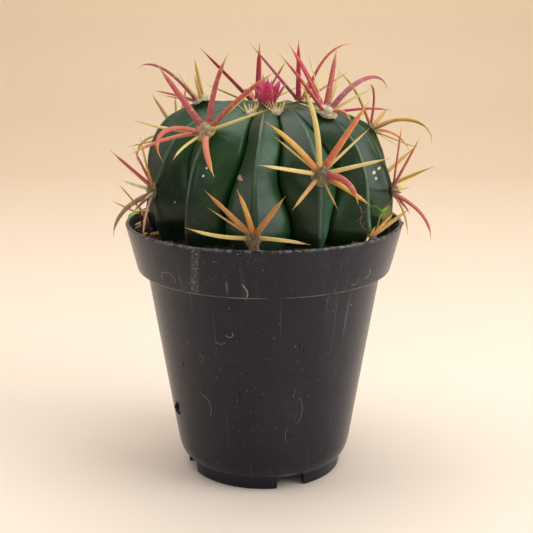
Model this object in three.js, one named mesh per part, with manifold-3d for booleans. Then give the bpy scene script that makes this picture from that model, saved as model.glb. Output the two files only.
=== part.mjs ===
// A round ribbed cactus growing in a dark plastic nursery pot. Millimetres, +Z up, the pot stands on z = 0
// with its axis on the origin. The plant leans a little to the right of the pot's axis.
import * as THREE from 'three';
import { mergeVertices } from 'three/addons/utils/BufferGeometryUtils.js';
import Module from 'manifold-3d';

const wasm = await Module();
wasm.setup();

// ---- driving dimensions ----
const potSides = 48;
const rimRadius = 42.5;
const potHeight = 79.2;
const wall = 1.1;
const lipBottom = 65;
const lipBottomRadius = 39.1;
const bodyTopRadius = 36.2;
const bodyFootRadius = 27.4;
const footRadius = 24.25;
const floorTop = 4.9;
const floorUnder = 3.4;
const padRadius = 6;
const notchWidth = 8.5;
const notchHeight = 3.9;
const notchStart = 20;
const notchCount = 8;
const drainRadius = 2.2;
const drainAt = 15;

const gap = 0.35;
const soilLevel = 75;
const soilHeap = 1.8;

const ribAzimuths = [-7.6, 22, 48, 76, 103, 130, 157, 190, 214, 239, 268, 296, 320.5];
const stemX = 2.3;
const stemY = 0;
const stemRadius = 37.4;
const stemTop = 115;
const equator = 83;
const buriedDepth = 21;
const shoulder = 2.6;
const crownDip = 1.5;
const crownDipRadius = 7;
const grooveDepth = 6.6;
const areoleSwell = 0.9;
const areoleNudge = { '-1': 3.9, 8: -2.5, 13: -2 };
// how far a rib leans sideways on its way down, and how far a groove sits off the middle, in degrees
const ribDrift = { 1: -1, 2: -1.2, 12: -1 };
const grooveShift = { 12: 2.2 };
// where a rib stands prouder or flatter than the rest: height, place along the rib, reach
const ribBulge = { 10: [3.4, 31, 13], 9: [1.5, 30, 14], 3: [-1.4, 44, 14], 2: [0.6, 42, 14] };
const stemRows = 18;

const rad = THREE.MathUtils.degToRad;
const group = new THREE.Group();
group.name = 'potted_round_cactus';

// ---- small helpers ----
let seed = 7;
function random() {
  seed = (seed * 16807) % 2147483647;
  return seed / 2147483647;
}

function spread(amount) {
  return (random() * 2 - 1) * amount;
}

function solidFrom(geometry) {
  const plain = geometry.clone();
  plain.deleteAttribute('normal');
  plain.deleteAttribute('uv');
  const merged = mergeVertices(plain, 1e-4);
  return new wasm.Manifold(new wasm.Mesh({
    numProp: 3,
    vertProperties: new Float32Array(merged.attributes.position.array),
    triVerts: new Uint32Array(merged.index.array),
  }));
}

function solidFromRings(rings, startPoint, endPoint) {
  // rings run counterclockwise when looked at from the end towards the start
  const points = [];
  const faces = [];
  const count = rings[0].length;
  for (const ring of rings) {
    for (const p of ring) points.push(p.x, p.y, p.z);
  }
  for (let row = 0; row < rings.length - 1; row += 1) {
    for (let k = 0; k < count; k += 1) {
      const a = row * count + k;
      const b = row * count + (k + 1) % count;
      faces.push(a, b, b + count, a, b + count, a + count);
    }
  }
  const start = points.length / 3;
  points.push(startPoint.x, startPoint.y, startPoint.z, endPoint.x, endPoint.y, endPoint.z);
  const last = (rings.length - 1) * count;
  for (let k = 0; k < count; k += 1) {
    const next = (k + 1) % count;
    faces.push(next, k, start);
    faces.push(last + k, last + next, start + 1);
  }
  return new wasm.Manifold(new wasm.Mesh({
    numProp: 3,
    vertProperties: new Float32Array(points),
    triVerts: new Uint32Array(faces),
  }));
}

function largestPiece(solid) {
  let best = null;
  for (const piece of solid.decompose()) {
    if (!best || piece.volume() > best.volume()) best = piece;
  }
  return best;
}

function addPiece(name, solid, colour, roughness) {
  const source = solid.getMesh();
  const geometry = new THREE.BufferGeometry();
  geometry.setAttribute('position', new THREE.BufferAttribute(new Float32Array(source.vertProperties), 3));
  geometry.setIndex(new THREE.BufferAttribute(new Uint32Array(source.triVerts), 1));
  geometry.computeVertexNormals();
  const material = new THREE.MeshStandardMaterial({ color: colour, roughness, metalness: 0 });
  material.name = name;
  const mesh = new THREE.Mesh(geometry, material);
  mesh.name = name;
  group.add(mesh);
}

function turned(profile, sides) {
  const points = profile.map(([r, z]) => new THREE.Vector2(r, z));
  return solidFrom(new THREE.LatheGeometry(points, sides).rotateX(Math.PI / 2));
}

// ---- pot ----
function potProfile(grow) {
  return [
    [0, 0],
    [padRadius, 0],
    [padRadius + 0.5, floorUnder],
    [footRadius - 2.6, floorUnder],
    [footRadius - 1.7, 0],
    [footRadius, 0],
    [footRadius + 0.35, 4],
    [26.2, 5.3],
    [bodyFootRadius - 0.4, 7.2],
    [bodyFootRadius, 9],
    [bodyTopRadius, lipBottom - 0.9],
    [lipBottomRadius - 0.4, lipBottom - 0.4],
    [lipBottomRadius, lipBottom],
    [rimRadius + grow, potHeight - 0.4],
    [rimRadius - 0.3 + grow, potHeight + grow],
    [rimRadius - wall - grow, potHeight + grow],
    [lipBottomRadius - wall - grow, lipBottom + 1.1 + grow],
    [bodyTopRadius - wall - grow, lipBottom + 0.5 + grow],
    [bodyFootRadius - wall - grow, 9],
    [25.1, 6.5],
    [22, floorTop],
    [0, floorTop],
  ];
}

let pot = turned(potProfile(0), potSides);
for (let k = 0; k < notchCount; k += 1) {
  const deep = k % 2 === 0;
  const height = deep ? notchHeight : notchHeight - 1;
  const depth = deep ? 8 : 1.6;
  const cutter = new THREE.BoxGeometry(notchWidth, depth, height + 2);
  cutter.translate(0, -(deep ? 25 : 25.1), height / 2 - 1);
  cutter.rotateZ(rad(notchStart + k * 360 / notchCount));
  pot = pot.subtract(solidFrom(cutter));
  if (deep) {
    const drain = new THREE.CylinderGeometry(drainRadius, drainRadius, 8, 12).rotateX(Math.PI / 2);
    drain.translate(0, -drainAt, floorTop - 2);
    drain.rotateZ(rad(notchStart + k * 360 / notchCount));
    pot = pot.subtract(solidFrom(drain));
  }
}
addPiece('pot', largestPiece(pot), 0x2b2a2e, 0.5);
const potKeepOut = turned(potProfile(0.3), potSides);

// ---- stem outline: the crest of every rib, as a turned curve ----
function crestAt(turn) {
  const s = Math.max(Math.sin(turn), 0);
  const c = Math.cos(turn);
  const upper = turn <= Math.PI / 2;
  const power = upper ? 2 / shoulder : 1;
  const r = stemRadius * s ** power;
  const reach = upper ? stemTop - equator : buriedDepth;
  const z = equator + Math.sign(c) * reach * Math.abs(c) ** power;
  return { r, z: z - crownDip * Math.exp(-((r / crownDipRadius) ** 2)) };
}

const crestSteps = 800;
const crestTable = [];
let run = 0;
for (let k = 0; k <= crestSteps; k += 1) {
  const turn = Math.PI * 0.94 * k / crestSteps;
  const here = crestAt(turn);
  if (k) run += Math.hypot(here.r - crestTable[k - 1].r, here.z - crestTable[k - 1].z);
  crestTable.push({ ...here, s: run, turn });
}
const crestLength = run;

function crestPoint(s) {
  const wanted = THREE.MathUtils.clamp(s, 0, crestLength);
  let k = 1;
  while (k < crestSteps && crestTable[k].s < wanted) k += 1;
  const a = crestTable[k - 1];
  const b = crestTable[k];
  const t = (wanted - a.s) / Math.max(b.s - a.s, 1e-9);
  const length = Math.hypot(b.r - a.r, b.z - a.z);
  return {
    r: a.r + (b.r - a.r) * t,
    z: a.z + (b.z - a.z) * t,
    downR: (b.r - a.r) / length,
    downZ: (b.z - a.z) / length,
  };
}

// ---- areoles: they appear one after another, each five ribs further round and a step lower ----
const areoles = [];
for (let n = -5; n <= 13; n += 1) {
  const crowding = 1.7 * Math.max(n - 9, 0);
  const s = Math.max(21 + 4.4 * n - 0.05 * n * n - crowding + (areoleNudge[n] ?? 0), 3.5);
  areoles.push({ n, rib: ((2 + 5 * n) % 13 + 13) % 13, s });
}

function nearAreole(rib, s, reach) {
  let sum = 0;
  for (const a of areoles) {
    if (a.rib === rib && a.n >= -1) sum += Math.exp(-(((s - a.s) / reach) ** 2));
  }
  return sum;
}

function swellAt(rib, s) {
  return nearAreole(rib, s, 5.5) * areoleSwell;
}

function bulgeAt(rib, s) {
  const [height, middle, reach] = ribBulge[rib] ?? [0, 0, 1];
  return height * Math.exp(-(((s - middle) / reach) ** 2));
}

function crestAzimuth(rib, s) {
  return ribAzimuths[rib] + (ribDrift[rib] ?? 0) * THREE.MathUtils.smoothstep(s, 20, 60);
}

// the groove between a rib and the next one round keeps away from whichever rib has an areole there
function grooveAfter(rib, s) {
  const next = (rib + 1) % 13;
  const apart = (ribAzimuths[next] - ribAzimuths[rib] + 360) % 360;
  const mine = 1 + 0.8 * nearAreole(rib, s, 11);
  const theirs = 1 + 0.8 * nearAreole(next, s, 11);
  return ribAzimuths[rib] + apart * mine / (mine + theirs) + (grooveShift[rib] ?? 0);
}

function stemPoint(rib, u, s, grow) {
  const crest = crestAzimuth(rib, s);
  const before = grooveAfter((rib + 12) % 13, s) - (rib === 0 ? 360 : 0);
  const edge = u < 0 ? before : grooveAfter(rib, s);
  const azimuth = rad(crest + (edge - crest) * Math.abs(u));
  const fall = 0.8 * Math.abs(u) + 0.2 * (1 - Math.sqrt(1 - Math.min(Math.abs(u), 1) ** 3));
  const open = THREE.MathUtils.smoothstep(s, 3, 50) * 0.96 + 0.04;
  const close = 1 - 0.6 * THREE.MathUtils.smoothstep(s, 66, crestLength);
  const swell = swellAt(rib, s) * (1 - fall) ** 1.5 + bulgeAt(rib, s) * (1 - fall);
  const depth = grooveDepth * open * close * fall - swell - grow;
  const c = crestPoint(s);
  const r = c.r + c.downZ * depth;
  const z = c.z - c.downR * depth;
  return new THREE.Vector3(
    stemX + Math.max(r, 0.4) * Math.sin(azimuth),
    stemY - Math.max(r, 0.4) * Math.cos(azimuth),
    z,
  );
}

function stemSolid(grow) {
  const columns = [-1, -0.5, 0, 0.5];
  const rings = [];
  for (let row = 0; row < stemRows; row += 1) {
    const s = 2.5 + (crestLength - 2.5) * (row / (stemRows - 1));
    const ring = [];
    for (let rib = 0; rib < 13; rib += 1) {
      for (const u of columns) ring.push(stemPoint(rib, u, s, grow));
    }
    rings.push(ring);
  }
  rings.reverse();
  const low = crestPoint(crestLength);
  return solidFromRings(
    rings,
    new THREE.Vector3(stemX, stemY, low.z - 0.8 - grow),
    new THREE.Vector3(stemX, stemY, crestPoint(0).z + grow),
  );
}

const stem = stemSolid(0);
const stemKeepOut = stemSolid(0.3);
addPiece('stem', stem, 0x4d6a58, 0.6);

// ---- tapering tubes for roots, spines and seedling stalks ----
function taperedTube(centres, widths, sides, flatness, sideways) {
  const rings = [];
  for (let k = 0; k < centres.length; k += 1) {
    const before = centres[Math.max(k - 1, 0)];
    const after = centres[Math.min(k + 1, centres.length - 1)];
    const along = after.clone().sub(before).normalize();
    const across = sideways.clone().addScaledVector(along, -sideways.dot(along)).normalize();
    const up = along.clone().cross(across);
    if (k === centres.length - 1) break;
    const ring = [];
    for (let j = 0; j < sides; j += 1) {
      const angle = Math.PI * 2 * j / sides;
      ring.push(centres[k].clone()
        .addScaledVector(across, Math.cos(angle) * widths[k] / 2)
        .addScaledVector(up, Math.sin(angle) * widths[k] / 2 * flatness));
    }
    rings.push(ring);
  }
  return solidFromRings(rings, centres[0], centres[centres.length - 1]);
}

function curved(points, widths, sides, grow) {
  const vectors = points.map((p) => new THREE.Vector3(...p));
  const curve = new THREE.CatmullRomCurve3(vectors);
  const steps = (points.length - 1) * 3;
  const centres = curve.getPoints(steps);
  const sizes = centres.map((_, k) => {
    const t = k / steps * (widths.length - 1);
    const low = Math.min(Math.floor(t), widths.length - 2);
    return widths[low] + (widths[low + 1] - widths[low]) * (t - low) + 2 * grow;
  });
  return taperedTube(centres, sizes, sides, 1, new THREE.Vector3(0.13, 0.97, 0.21));
}

// ---- root below the stem, hidden in the soil ----
const stemBottom = crestPoint(crestLength).z - 0.8;
function rootSolid(grow) {
  const top = stemBottom - gap;
  let root = curved(
    [
      [stemX, 0, top + grow],
      [stemX + 0.5, 0.6, top - 12],
      [stemX - 1, 0, top - 26],
      [stemX, 1, top - 42 - 4 * grow],
    ],
    [13, 9, 5, 2],
    8,
    grow,
  );
  for (const [azimuth, drop, reach] of [[30, 9, 19], [150, 13, 16], [265, 11, 18]]) {
    const sx = Math.sin(rad(azimuth));
    const sy = -Math.cos(rad(azimuth));
    root = root.add(curved(
      [
        [stemX, 0, top - drop],
        [stemX + sx * reach * 0.5, sy * reach * 0.5, top - drop - 4],
        [stemX + sx * (reach + 4 * grow), sy * (reach + 4 * grow), top - drop - 12 - 3 * grow],
      ],
      [3.6, 2.4, 1.2],
      6,
      grow,
    ));
  }
  return root;
}
addPiece('root', rootSolid(0), 0xa38360, 0.9);

// ---- soil ----
function soilSolid(grow) {
  const slope = (rimRadius - lipBottomRadius) / (potHeight - lipBottom);
  const levels = [
    [20.6, floorTop + gap],
    [24.6, 7],
    [bodyFootRadius - wall - gap, 9.2],
    [bodyTopRadius - wall - gap, lipBottom + 0.9],
    [lipBottomRadius - wall - gap - 0.1, lipBottom + 1.6 + gap],
    [lipBottomRadius - wall - gap + slope * (soilLevel - lipBottom - 2), soilLevel - 1],
  ];
  const sides = 36;
  const rings = levels.map(([r, z]) => {
    const ring = [];
    for (let k = 0; k < sides; k += 1) {
      const angle = Math.PI * 2 * k / sides;
      ring.push(new THREE.Vector3(r * Math.sin(angle), -r * Math.cos(angle), z));
    }
    return ring;
  });
  const surface = [38.8, 36.6, 33, 28];
  surface.forEach((r, index) => {
    const ring = [];
    for (let k = 0; k < sides; k += 1) {
      const angle = Math.PI * 2 * k / sides;
      const lump = Math.sin(k * 2.6 + index * 2.3) * 0.35 + Math.sin(k * 1.1 - index) * 0.4 + spread(0.3);
      const heaped = soilHeap * Math.max(Math.cos(angle), 0) * (index > 0 ? 1 : 0.5);
      const z = soilLevel + lump + heaped + grow;
      ring.push(new THREE.Vector3(r * Math.sin(angle), -r * Math.cos(angle), z));
    }
    rings.push(ring);
  });
  return solidFromRings(
    rings,
    new THREE.Vector3(0, 0, floorTop + gap),
    new THREE.Vector3(0, 0, soilLevel + grow),
  );
}
const soilSeed = seed;
const soilBlock = soilSolid(0);
seed = soilSeed;
const soilKeepOut = soilSolid(0.3);
const soil = soilBlock.subtract(stemKeepOut).subtract(rootSolid(0.35));
addPiece('soil', largestPiece(soil), 0x1f1a17, 0.95);

// ---- spines ----
// clock: direction in the skin's plane, 0 towards the crown and 90 to the right as seen from outside.
// lift: angle out of the skin. bend: total turn in degrees towards the clock direction "to".
// late: 1 bends evenly, larger values keep the bend for the tip and make a hook.
function spine(clock, lift, length, width, bend = 0, to = 180, late = 1) {
  return { clock, lift, length, width, bend, to, late };
}

const usualSpines = [
  spine(-52, 30, 24, 1.5, 12, -90),
  spine(-15, 34, 25, 1.6, 10, -90),
  spine(32, 34, 22, 1.5),
  spine(-84, 20, 20, 1.1, 8, 0),
  spine(84, 20, 19, 1.1, 8, 0),
  spine(135, 24, 16, 1.2, 10, 180),
  spine(-130, 20, 17, 1.1, 8, 180),
  spine(176, 20, 12, 0.9),
  spine(165, 58, 24, 1.8, 105, 180, 2),
];

const spinesByAreole = {
  0: [
    spine(-80, 40, 26, 1.6, 20, 0, 1.5),
    spine(-5, 43, 22, 1.9, 15, 0),
    spine(36, 66, 18, 1.6),
    spine(95, 60, 28, 1.7, 110, 95, 1.6),
    spine(104, 32, 14.5, 1.1),
    spine(150, 30, 18.5, 1.3, 24, 180, 2),
    spine(177, 57, 9.5, 1.1, 95, 185, 1.3),
    spine(-60, 10, 9, 0.7),
    spine(0, 48, 17, 0.6),
    spine(55, 48, 14, 0.6),
    spine(80, 40, 9, 0.6),
  ],
  2: [
    spine(-60, 40, 24, 1.7),
    spine(0, 40, 22, 1.8, 28, 90, 1.6),
    spine(40, 24, 26, 1.8, 24, 110),
    spine(72, 11, 21, 1.2),
    spine(36, 12, 17, 0.6),
    spine(-116, 20, 20, 1.1, 16, 40),
    spine(-140, 54, 26, 1.7, 118, 150, 1.5),
    spine(-130, 24, 22, 1.4, 30, 180),
    spine(-170, 18, 15, 1.1, 34, 120, 1.6),
    spine(146, 10, 17.5, 1.8, 32, 142),
  ],
  5: [
    spine(-48, 32, 24, 1.6, 16, -90),
    spine(-12, 38, 27, 1.6, 26, -90, 1.8),
    spine(34, 35, 22.5, 1.7),
    spine(-56, 20, 18, 0.6),
    spine(52, 20, 18, 0.7),
    spine(-84, 20, 21, 1.1),
    spine(84, 20, 18.5, 1.1),
    spine(110, 60, 15, 1.8, 75, 180, 1.3),
    spine(130, 27, 15.5, 1.4, 12, 180),
    spine(-130, 20, 15.5, 1.1),
    spine(170, 20, 10.5, 0.7),
  ],
  10: [
    spine(-34, 30, 21, 1.4),
    spine(-49, 20, 15, 0.6),
    spine(-4, 30, 17.5, 1.4, 10, -90),
    spine(34, 30, 19, 1.5),
    spine(-88, 18, 18, 1.1, 22, 0),
    spine(84, 20, 16, 1.1, -8, 0),
    spine(178, 12, 7, 2.3),
    spine(150, 40, 4, 0.9),
  ],
  3: [
    spine(16, 22, 20, 1.3, 45, 0, 2.4),
    spine(14, 52, 17, 1.3, 120, -40, 2.6),
    spine(85, 70, 9, 1.3),
    spine(120, 72, 26, 1.1, 145, 235, 1.2),
    spine(145, 46, 17, 1.2, 66, 175, 1.3),
    spine(171, 18, 11, 0.6),
    spine(-84, 22, 15, 0.9),
    spine(-150, 24, 15, 0.9),
  ],
  8: [
    spine(-3, 12, 19, 1.0),
    spine(2, 32, 17, 1.4),
    spine(13, 34, 9, 0.8),
    spine(175, 58, 19, 1.7, 62, 180, 1.8),
    spine(180, 44, 8, 1.1, 15, 180),
    spine(-172, 36, 13, 1.1, 38, 180),
    spine(90, 60, 5, 1.0),
    spine(-84, 20, 12, 0.9),
    spine(84, 20, 15, 0.9),
  ],
  7: [
    spine(-30, 48, 16, 1.5),
    spine(0, 33, 13, 1.3),
    spine(12, 28, 16, 1.1, 10, 0),
    spine(-82, 40, 10, 1.0),
    spine(-155, 62, 18, 1.7, 68, 180, 1.6),
    spine(160, 26, 14, 1.2, 38, 180),
    spine(-142, 22, 9, 1.1),
    spine(120, 50, 5, 1.3),
  ],
  12: [
    spine(-10, 22, 14, 1.1),
    spine(5, 44, 12, 1.1),
    spine(80, 58, 8, 1.0),
    spine(100, 62, 8, 1.0),
    spine(-60, 30, 9, 0.8),
  ],
  13: [
    spine(-25, 24, 5.5, 1.2),
    spine(30, 14, 9, 1.1),
    spine(46, 16, 13.5, 1.5),
    spine(-70, 30, 8, 1.0),
  ],
  '-1': [
    spine(160, 70, 24, 1.6, 95, 215, 2.4),
    spine(-60, 75, 12.5, 1.3),
    spine(168, 40, 14, 1.3, 10, 180),
    spine(75, 60, 9, 0.9),
    spine(-120, 50, 13, 0.9),
    spine(150, 30, 12, 0.8),
  ],
  4: [
    spine(30, 54, 14, 1.2),
    spine(-4, 36, 12, 1.1),
    spine(150, 64, 20, 1.2, 110, 180, 1.6),
    spine(132, 32, 15, 0.8),
    spine(-84, 24, 16, 1.0),
    spine(-140, 26, 16, 1.1),
    spine(-40, 34, 20, 1.3),
  ],
  1: [
    spine(0, 52, 19, 1.8),
    spine(55, 32, 26, 1.4),
    spine(-60, 52, 17, 1.3),
    spine(-84, 24, 17, 1.0),
    spine(84, 24, 17, 1.0),
    spine(135, 24, 16, 1.2, 10, 180),
    spine(-130, 22, 16, 1.1, 8, 180),
    spine(170, 58, 24, 1.7, 105, 180, 2.2),
  ],
};

function areoleFrame(areole) {
  const c = crestPoint(areole.s);
  const azimuth = rad(crestAzimuth(areole.rib, areole.s));
  const out = new THREE.Vector3(Math.sin(azimuth), -Math.cos(azimuth), 0);
  const up = out.clone().multiplyScalar(-c.downR).setZ(-c.downZ);
  const normal = out.clone().multiplyScalar(-c.downZ).setZ(c.downR);
  const swell = (areole.n >= -1 ? swellAt(areole.rib, areole.s) : 0) + bulgeAt(areole.rib, areole.s);
  const centre = new THREE.Vector3(stemX, stemY, c.z);
  centre.addScaledVector(out, c.r).addScaledVector(normal, swell);
  return { centre, up, normal, side: up.clone().cross(normal) };
}

function skinDirection(frame, clock) {
  return frame.up.clone().multiplyScalar(Math.cos(rad(clock)))
    .addScaledVector(frame.side, Math.sin(rad(clock)));
}

function spineSolid(frame, s, grow) {
  const flat = skinDirection(frame, s.clock);
  const start = flat.clone().multiplyScalar(Math.cos(rad(s.lift)))
    .addScaledVector(frame.normal, Math.sin(rad(s.lift)));
  const target = skinDirection(frame, s.to);
  const axis = start.clone().cross(target).normalize();
  const steps = Math.abs(s.bend) > 60 ? 6 : Math.abs(s.bend) > 5 ? 2 : 1;
  const centres = [];
  const widths = [];
  const here = frame.centre.clone().addScaledVector(frame.normal, 0.5).addScaledVector(flat, 1.1);
  const stepLength = (s.length + (grow ? 0.3 : 0)) / steps;
  for (let k = 0; k <= steps; k += 1) {
    centres.push(here.clone());
    widths.push(1.15 * s.width * (1 - 0.55 * (k / steps) ** 1.5) + 2 * grow);
    const turn = rad(s.bend) * ((k + 0.5) / steps) ** s.late;
    here.addScaledVector(start.clone().applyAxisAngle(axis, turn), stepLength);
  }
  const sideways = frame.normal.clone().cross(start);
  return taperedTube(centres, widths, 4, 0.6, sideways);
}

function cushionSolid(frame, wide, high, thick, grow) {
  const ball = new THREE.IcosahedronGeometry(1, 1);
  ball.scale(wide / 2 + grow, high / 2 + grow, thick + grow);
  const basis = new THREE.Matrix4().makeBasis(frame.side, frame.up, frame.normal);
  basis.setPosition(frame.centre.clone().addScaledVector(frame.normal, 0.3));
  ball.applyMatrix4(basis);
  return solidFrom(ball);
}

function clusterSolid(areole, list, size, grow) {
  const frame = areoleFrame(areole);
  let cluster = cushionSolid(frame, size * 0.8, size, size * 0.28, grow);
  for (const s of list) cluster = cluster.add(spineSolid(frame, s, grow));
  return cluster;
}

const keepOuts = [];
function addCluster(name, areole, list, size, colour) {
  let cluster = clusterSolid(areole, list, size, 0);
  for (const blocker of [stemKeepOut, soilKeepOut, potKeepOut, ...keepOuts]) {
    cluster = cluster.subtract(blocker);
  }
  addPiece(name, largestPiece(cluster), colour, 0.55);
  keepOuts.push(clusterSolid(areole, list, size, 0.15));
}

function jittered(list) {
  return list.map((s) => ({
    ...s,
    clock: s.clock + spread(9),
    lift: s.lift + spread(5),
    length: s.length * (1 + spread(0.12)),
  }));
}

const spineColours = { 0: 0xb5495a, 2: 0xb86a4f, 3: 0xb0605a, '-1': 0xa85a62 };
const frontFirst = [0, 2, 5, 10, 3, 8, 7, 12, 13, -1, 4, 1, 6, 9, 11];
for (const n of frontFirst) {
  const areole = areoles.find((a) => a.n === n);
  const list = spinesByAreole[n] ?? jittered(usualSpines);
  const label = String(n + 4).padStart(2, '0');
  addCluster(`spine_cluster_${label}`, areole, list, n > 9 ? 5 : 6, spineColours[n] ?? 0xb98a52);
}

// ---- young blades at the crown ----
const youngBlades = [
  spine(180, 84, 7.4, 2.4),
  spine(-75, 76, 7.4, 1.7),
  spine(80, 74, 7.6, 1.7),
  spine(-110, 84, 7.0, 1.7),
  spine(110, 84, 7.2, 1.8),
  spine(88, 52, 8.2, 1.1),
  spine(-80, 60, 7.6, 1.2),
];

const crownFan = [
  spine(39, 45, 22, 1.6),
  spine(4, 84, 18, 1.9),
  spine(-150, 74, 25, 1.5, 72, -160, 2.4),
  spine(-136, 38, 16, 1.1),
  spine(120, 40, 14, 0.9),
  spine(-60, 40, 12, 0.7),
  spine(175, 40, 16, 1.1),
];

for (const n of [-2, -3, -4]) {
  const areole = areoles.find((a) => a.n === n);
  const list = n === -3 ? youngBlades : jittered(youngBlades.slice(0, 3));
  addCluster(`crown_tuft_${n + 5}`, areole, n === -2 ? crownFan : list, 3.4, 0xb03a6a);
}

// ---- seedlings, rootlet and loose bits on the soil ----
function blocked(solid) {
  let result = solid;
  for (const blocker of [stemKeepOut, soilKeepOut, potKeepOut, ...keepOuts]) {
    result = result.subtract(blocker);
  }
  keepOuts.push(result);
  return largestPiece(result);
}

function leafSolid(x, y, z, length, width, azimuth, tilt) {
  const leaf = new THREE.IcosahedronGeometry(1, 1);
  leaf.scale(width / 2, length / 2, 0.35);
  leaf.translate(0, -length * 0.42, 0);
  leaf.rotateX(rad(tilt));
  leaf.rotateZ(rad(azimuth));
  leaf.translate(x, y, z);
  return solidFrom(leaf);
}

let leftSeedling = curved([[-36.6, -2.6, 76], [-37.4, -3, 79], [-37.9, -3.3, 82.3]], [0.9, 0.8, 0.7], 6, 0);
leftSeedling = leftSeedling.add(leafSolid(-37.9, -3.3, 82.1, 5.4, 3, -50, 15));
leftSeedling = leftSeedling.add(leafSolid(-37.9, -3.3, 82.1, 4.6, 2.6, 60, -10));
addPiece('seedling_left', blocked(leftSeedling), 0x7f9a48, 0.6);

let rightSeedling = curved([[32.4, -16.8, 77], [33.2, -17, 80.5], [34, -17, 84]], [0.9, 0.8, 0.7], 6, 0);
rightSeedling = rightSeedling.add(leafSolid(34, -17, 83.8, 3.8, 3, -60, -20));
rightSeedling = rightSeedling.add(leafSolid(34, -17, 83.8, 3.6, 2.9, 60, -20));
addPiece('seedling_right', blocked(rightSeedling), 0x76b53c, 0.6);

// a dead root thread that clings to the front of the stem
const threadPath = [
  [26.9, -28.3, 88.7], [27.6, -28.5, 86.4], [27.1, -28.7, 84.6], [28, -28.7, 82.7], [30.2, -27.9, 81.3],
];
addPiece('dry_rootlet', blocked(curved(threadPath, [0.7, 0.6], 5, 0)), 0x4a2f20, 0.9);

// each bit: name, place on the soil, size along x, y, z, turn about z, colour
const bits = [
  ['bark_chip_1', -32, -9.8, 5.2, 3.2, 1.6, 25, 0x5a4334],
  ['bark_chip_2', -27.6, -25.6, 4.2, 2.6, 1.4, -35, 0x3d2f27],
  ['bark_chip_3', 26, -29, 4.2, 2.6, 1.5, 40, 0x4a382c],
  ['bark_chip_4', 33.6, 20, 4.2, 2.4, 1.5, -50, 0x4a382c],
  ['bark_chip_5', -22, 32, 4.8, 2.6, 1.6, 15, 0x3d2f27],
  ['straw_bit_1', -35.8, -8.2, 2.6, 1.4, 1.1, 70, 0xa8823c],
  ['straw_bit_2', -36.3, -12.5, 2.4, 1.4, 1.2, 10, 0xb08a44],
  ['straw_bit_3', -32.6, -18.6, 2.6, 1.5, 1.2, -20, 0xa07a3a],
  ['perlite_1', -12.4, -36.4, 2.2, 1.8, 1.7, 0, 0xe8e4da],
  ['perlite_2', 21, -32.2, 1.9, 1.6, 1.4, 30, 0xe8e4da],
  ['perlite_3', 12, 38, 2.2, 1.9, 1.6, 60, 0xe8e4da],
];
for (const [name, x, y, sx, sy, sz, turn, colour] of bits) {
  const chip = new THREE.IcosahedronGeometry(0.55, 0);
  chip.scale(sx, sy, sz);
  chip.rotateZ(rad(turn));
  const front = Math.max(-y / Math.hypot(x, y), 0);
  chip.translate(x, y, soilLevel + soilHeap * front + sz * 0.45);
  addPiece(name, blocked(solidFrom(chip)), colour, 0.9);
}

export default group;
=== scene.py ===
import bpy
import bmesh
import random
from math import copysign, cos, dist, exp, hypot, pi, radians, sin, sqrt
from mathutils import Matrix, Vector, noise


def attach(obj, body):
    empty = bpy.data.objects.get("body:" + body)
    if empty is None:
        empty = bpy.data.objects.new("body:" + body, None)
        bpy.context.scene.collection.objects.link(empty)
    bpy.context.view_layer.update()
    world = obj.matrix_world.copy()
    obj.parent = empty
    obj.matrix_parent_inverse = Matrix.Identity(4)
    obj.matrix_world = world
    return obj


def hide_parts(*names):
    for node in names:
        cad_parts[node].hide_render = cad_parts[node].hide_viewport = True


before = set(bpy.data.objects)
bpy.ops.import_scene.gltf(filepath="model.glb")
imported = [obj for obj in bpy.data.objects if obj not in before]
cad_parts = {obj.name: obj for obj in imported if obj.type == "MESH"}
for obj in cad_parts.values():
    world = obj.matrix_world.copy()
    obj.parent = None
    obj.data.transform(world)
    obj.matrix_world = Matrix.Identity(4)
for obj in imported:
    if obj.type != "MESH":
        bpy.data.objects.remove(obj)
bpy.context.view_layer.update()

mm = 0.001  # every length below is written in millimetres and scaled by this when a mesh is made


def linear(hexText):
    parts = [int(hexText[i:i + 2], 16) / 255 for i in (0, 2, 4)]
    return tuple(p / 12.92 if p <= 0.04045 else ((p + 0.055) / 1.055) ** 2.4 for p in parts)


def blendColour(a, b, t):
    return tuple(p + (q - p) * t for p, q in zip(a, b))


def clamp(value, low=0.0, high=1.0):
    return max(low, min(high, value))


def smoothStep(value, low, high):
    t = clamp((value - low) / (high - low))
    return t * t * (3 - 2 * t)


def polar(azimuth, radius, height=0.0):  # azimuth 0 faces the viewer, positive to the right
    a = radians(azimuth)
    return Vector((radius * sin(a), -radius * cos(a), height))


# shader helpers
def operator(operation, swapped=False):
    def apply(self, other=None):
        return self.maths(operation, other, self) if swapped else self.maths(operation, self, other)
    return apply


class Wire:
    # one output socket; arithmetic on it adds Math nodes
    def __init__(self, sheet, socket):
        self.sheet = sheet
        self.socket = socket

    def maths(self, operation, first, second=None):
        values = {0: first} if second is None else {0: first, 1: second}
        return self.sheet.node("ShaderNodeMath", {"operation": operation}, values)

    __add__ = __radd__ = operator("ADD")
    __mul__ = __rmul__ = operator("MULTIPLY")
    __sub__ = operator("SUBTRACT")
    __rsub__ = operator("SUBTRACT", swapped=True)
    __truediv__ = operator("DIVIDE")
    __pow__ = operator("POWER")
    __abs__ = operator("ABSOLUTE")
    atMost = operator("MINIMUM")
    atLeast = operator("MAXIMUM")

    def __neg__(self):
        return self * -1.0

    def step(self, low, high):  # soft step from 0 at low to 1 at high
        return self.sheet.node(
            "ShaderNodeMapRange", {"interpolation_type": "SMOOTHSTEP"},
            {"Value": self, "From Min": low, "From Max": high})

    def part(self, axis):
        return self.sheet.node("ShaderNodeSeparateXYZ", {}, {0: self}, axis)


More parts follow.
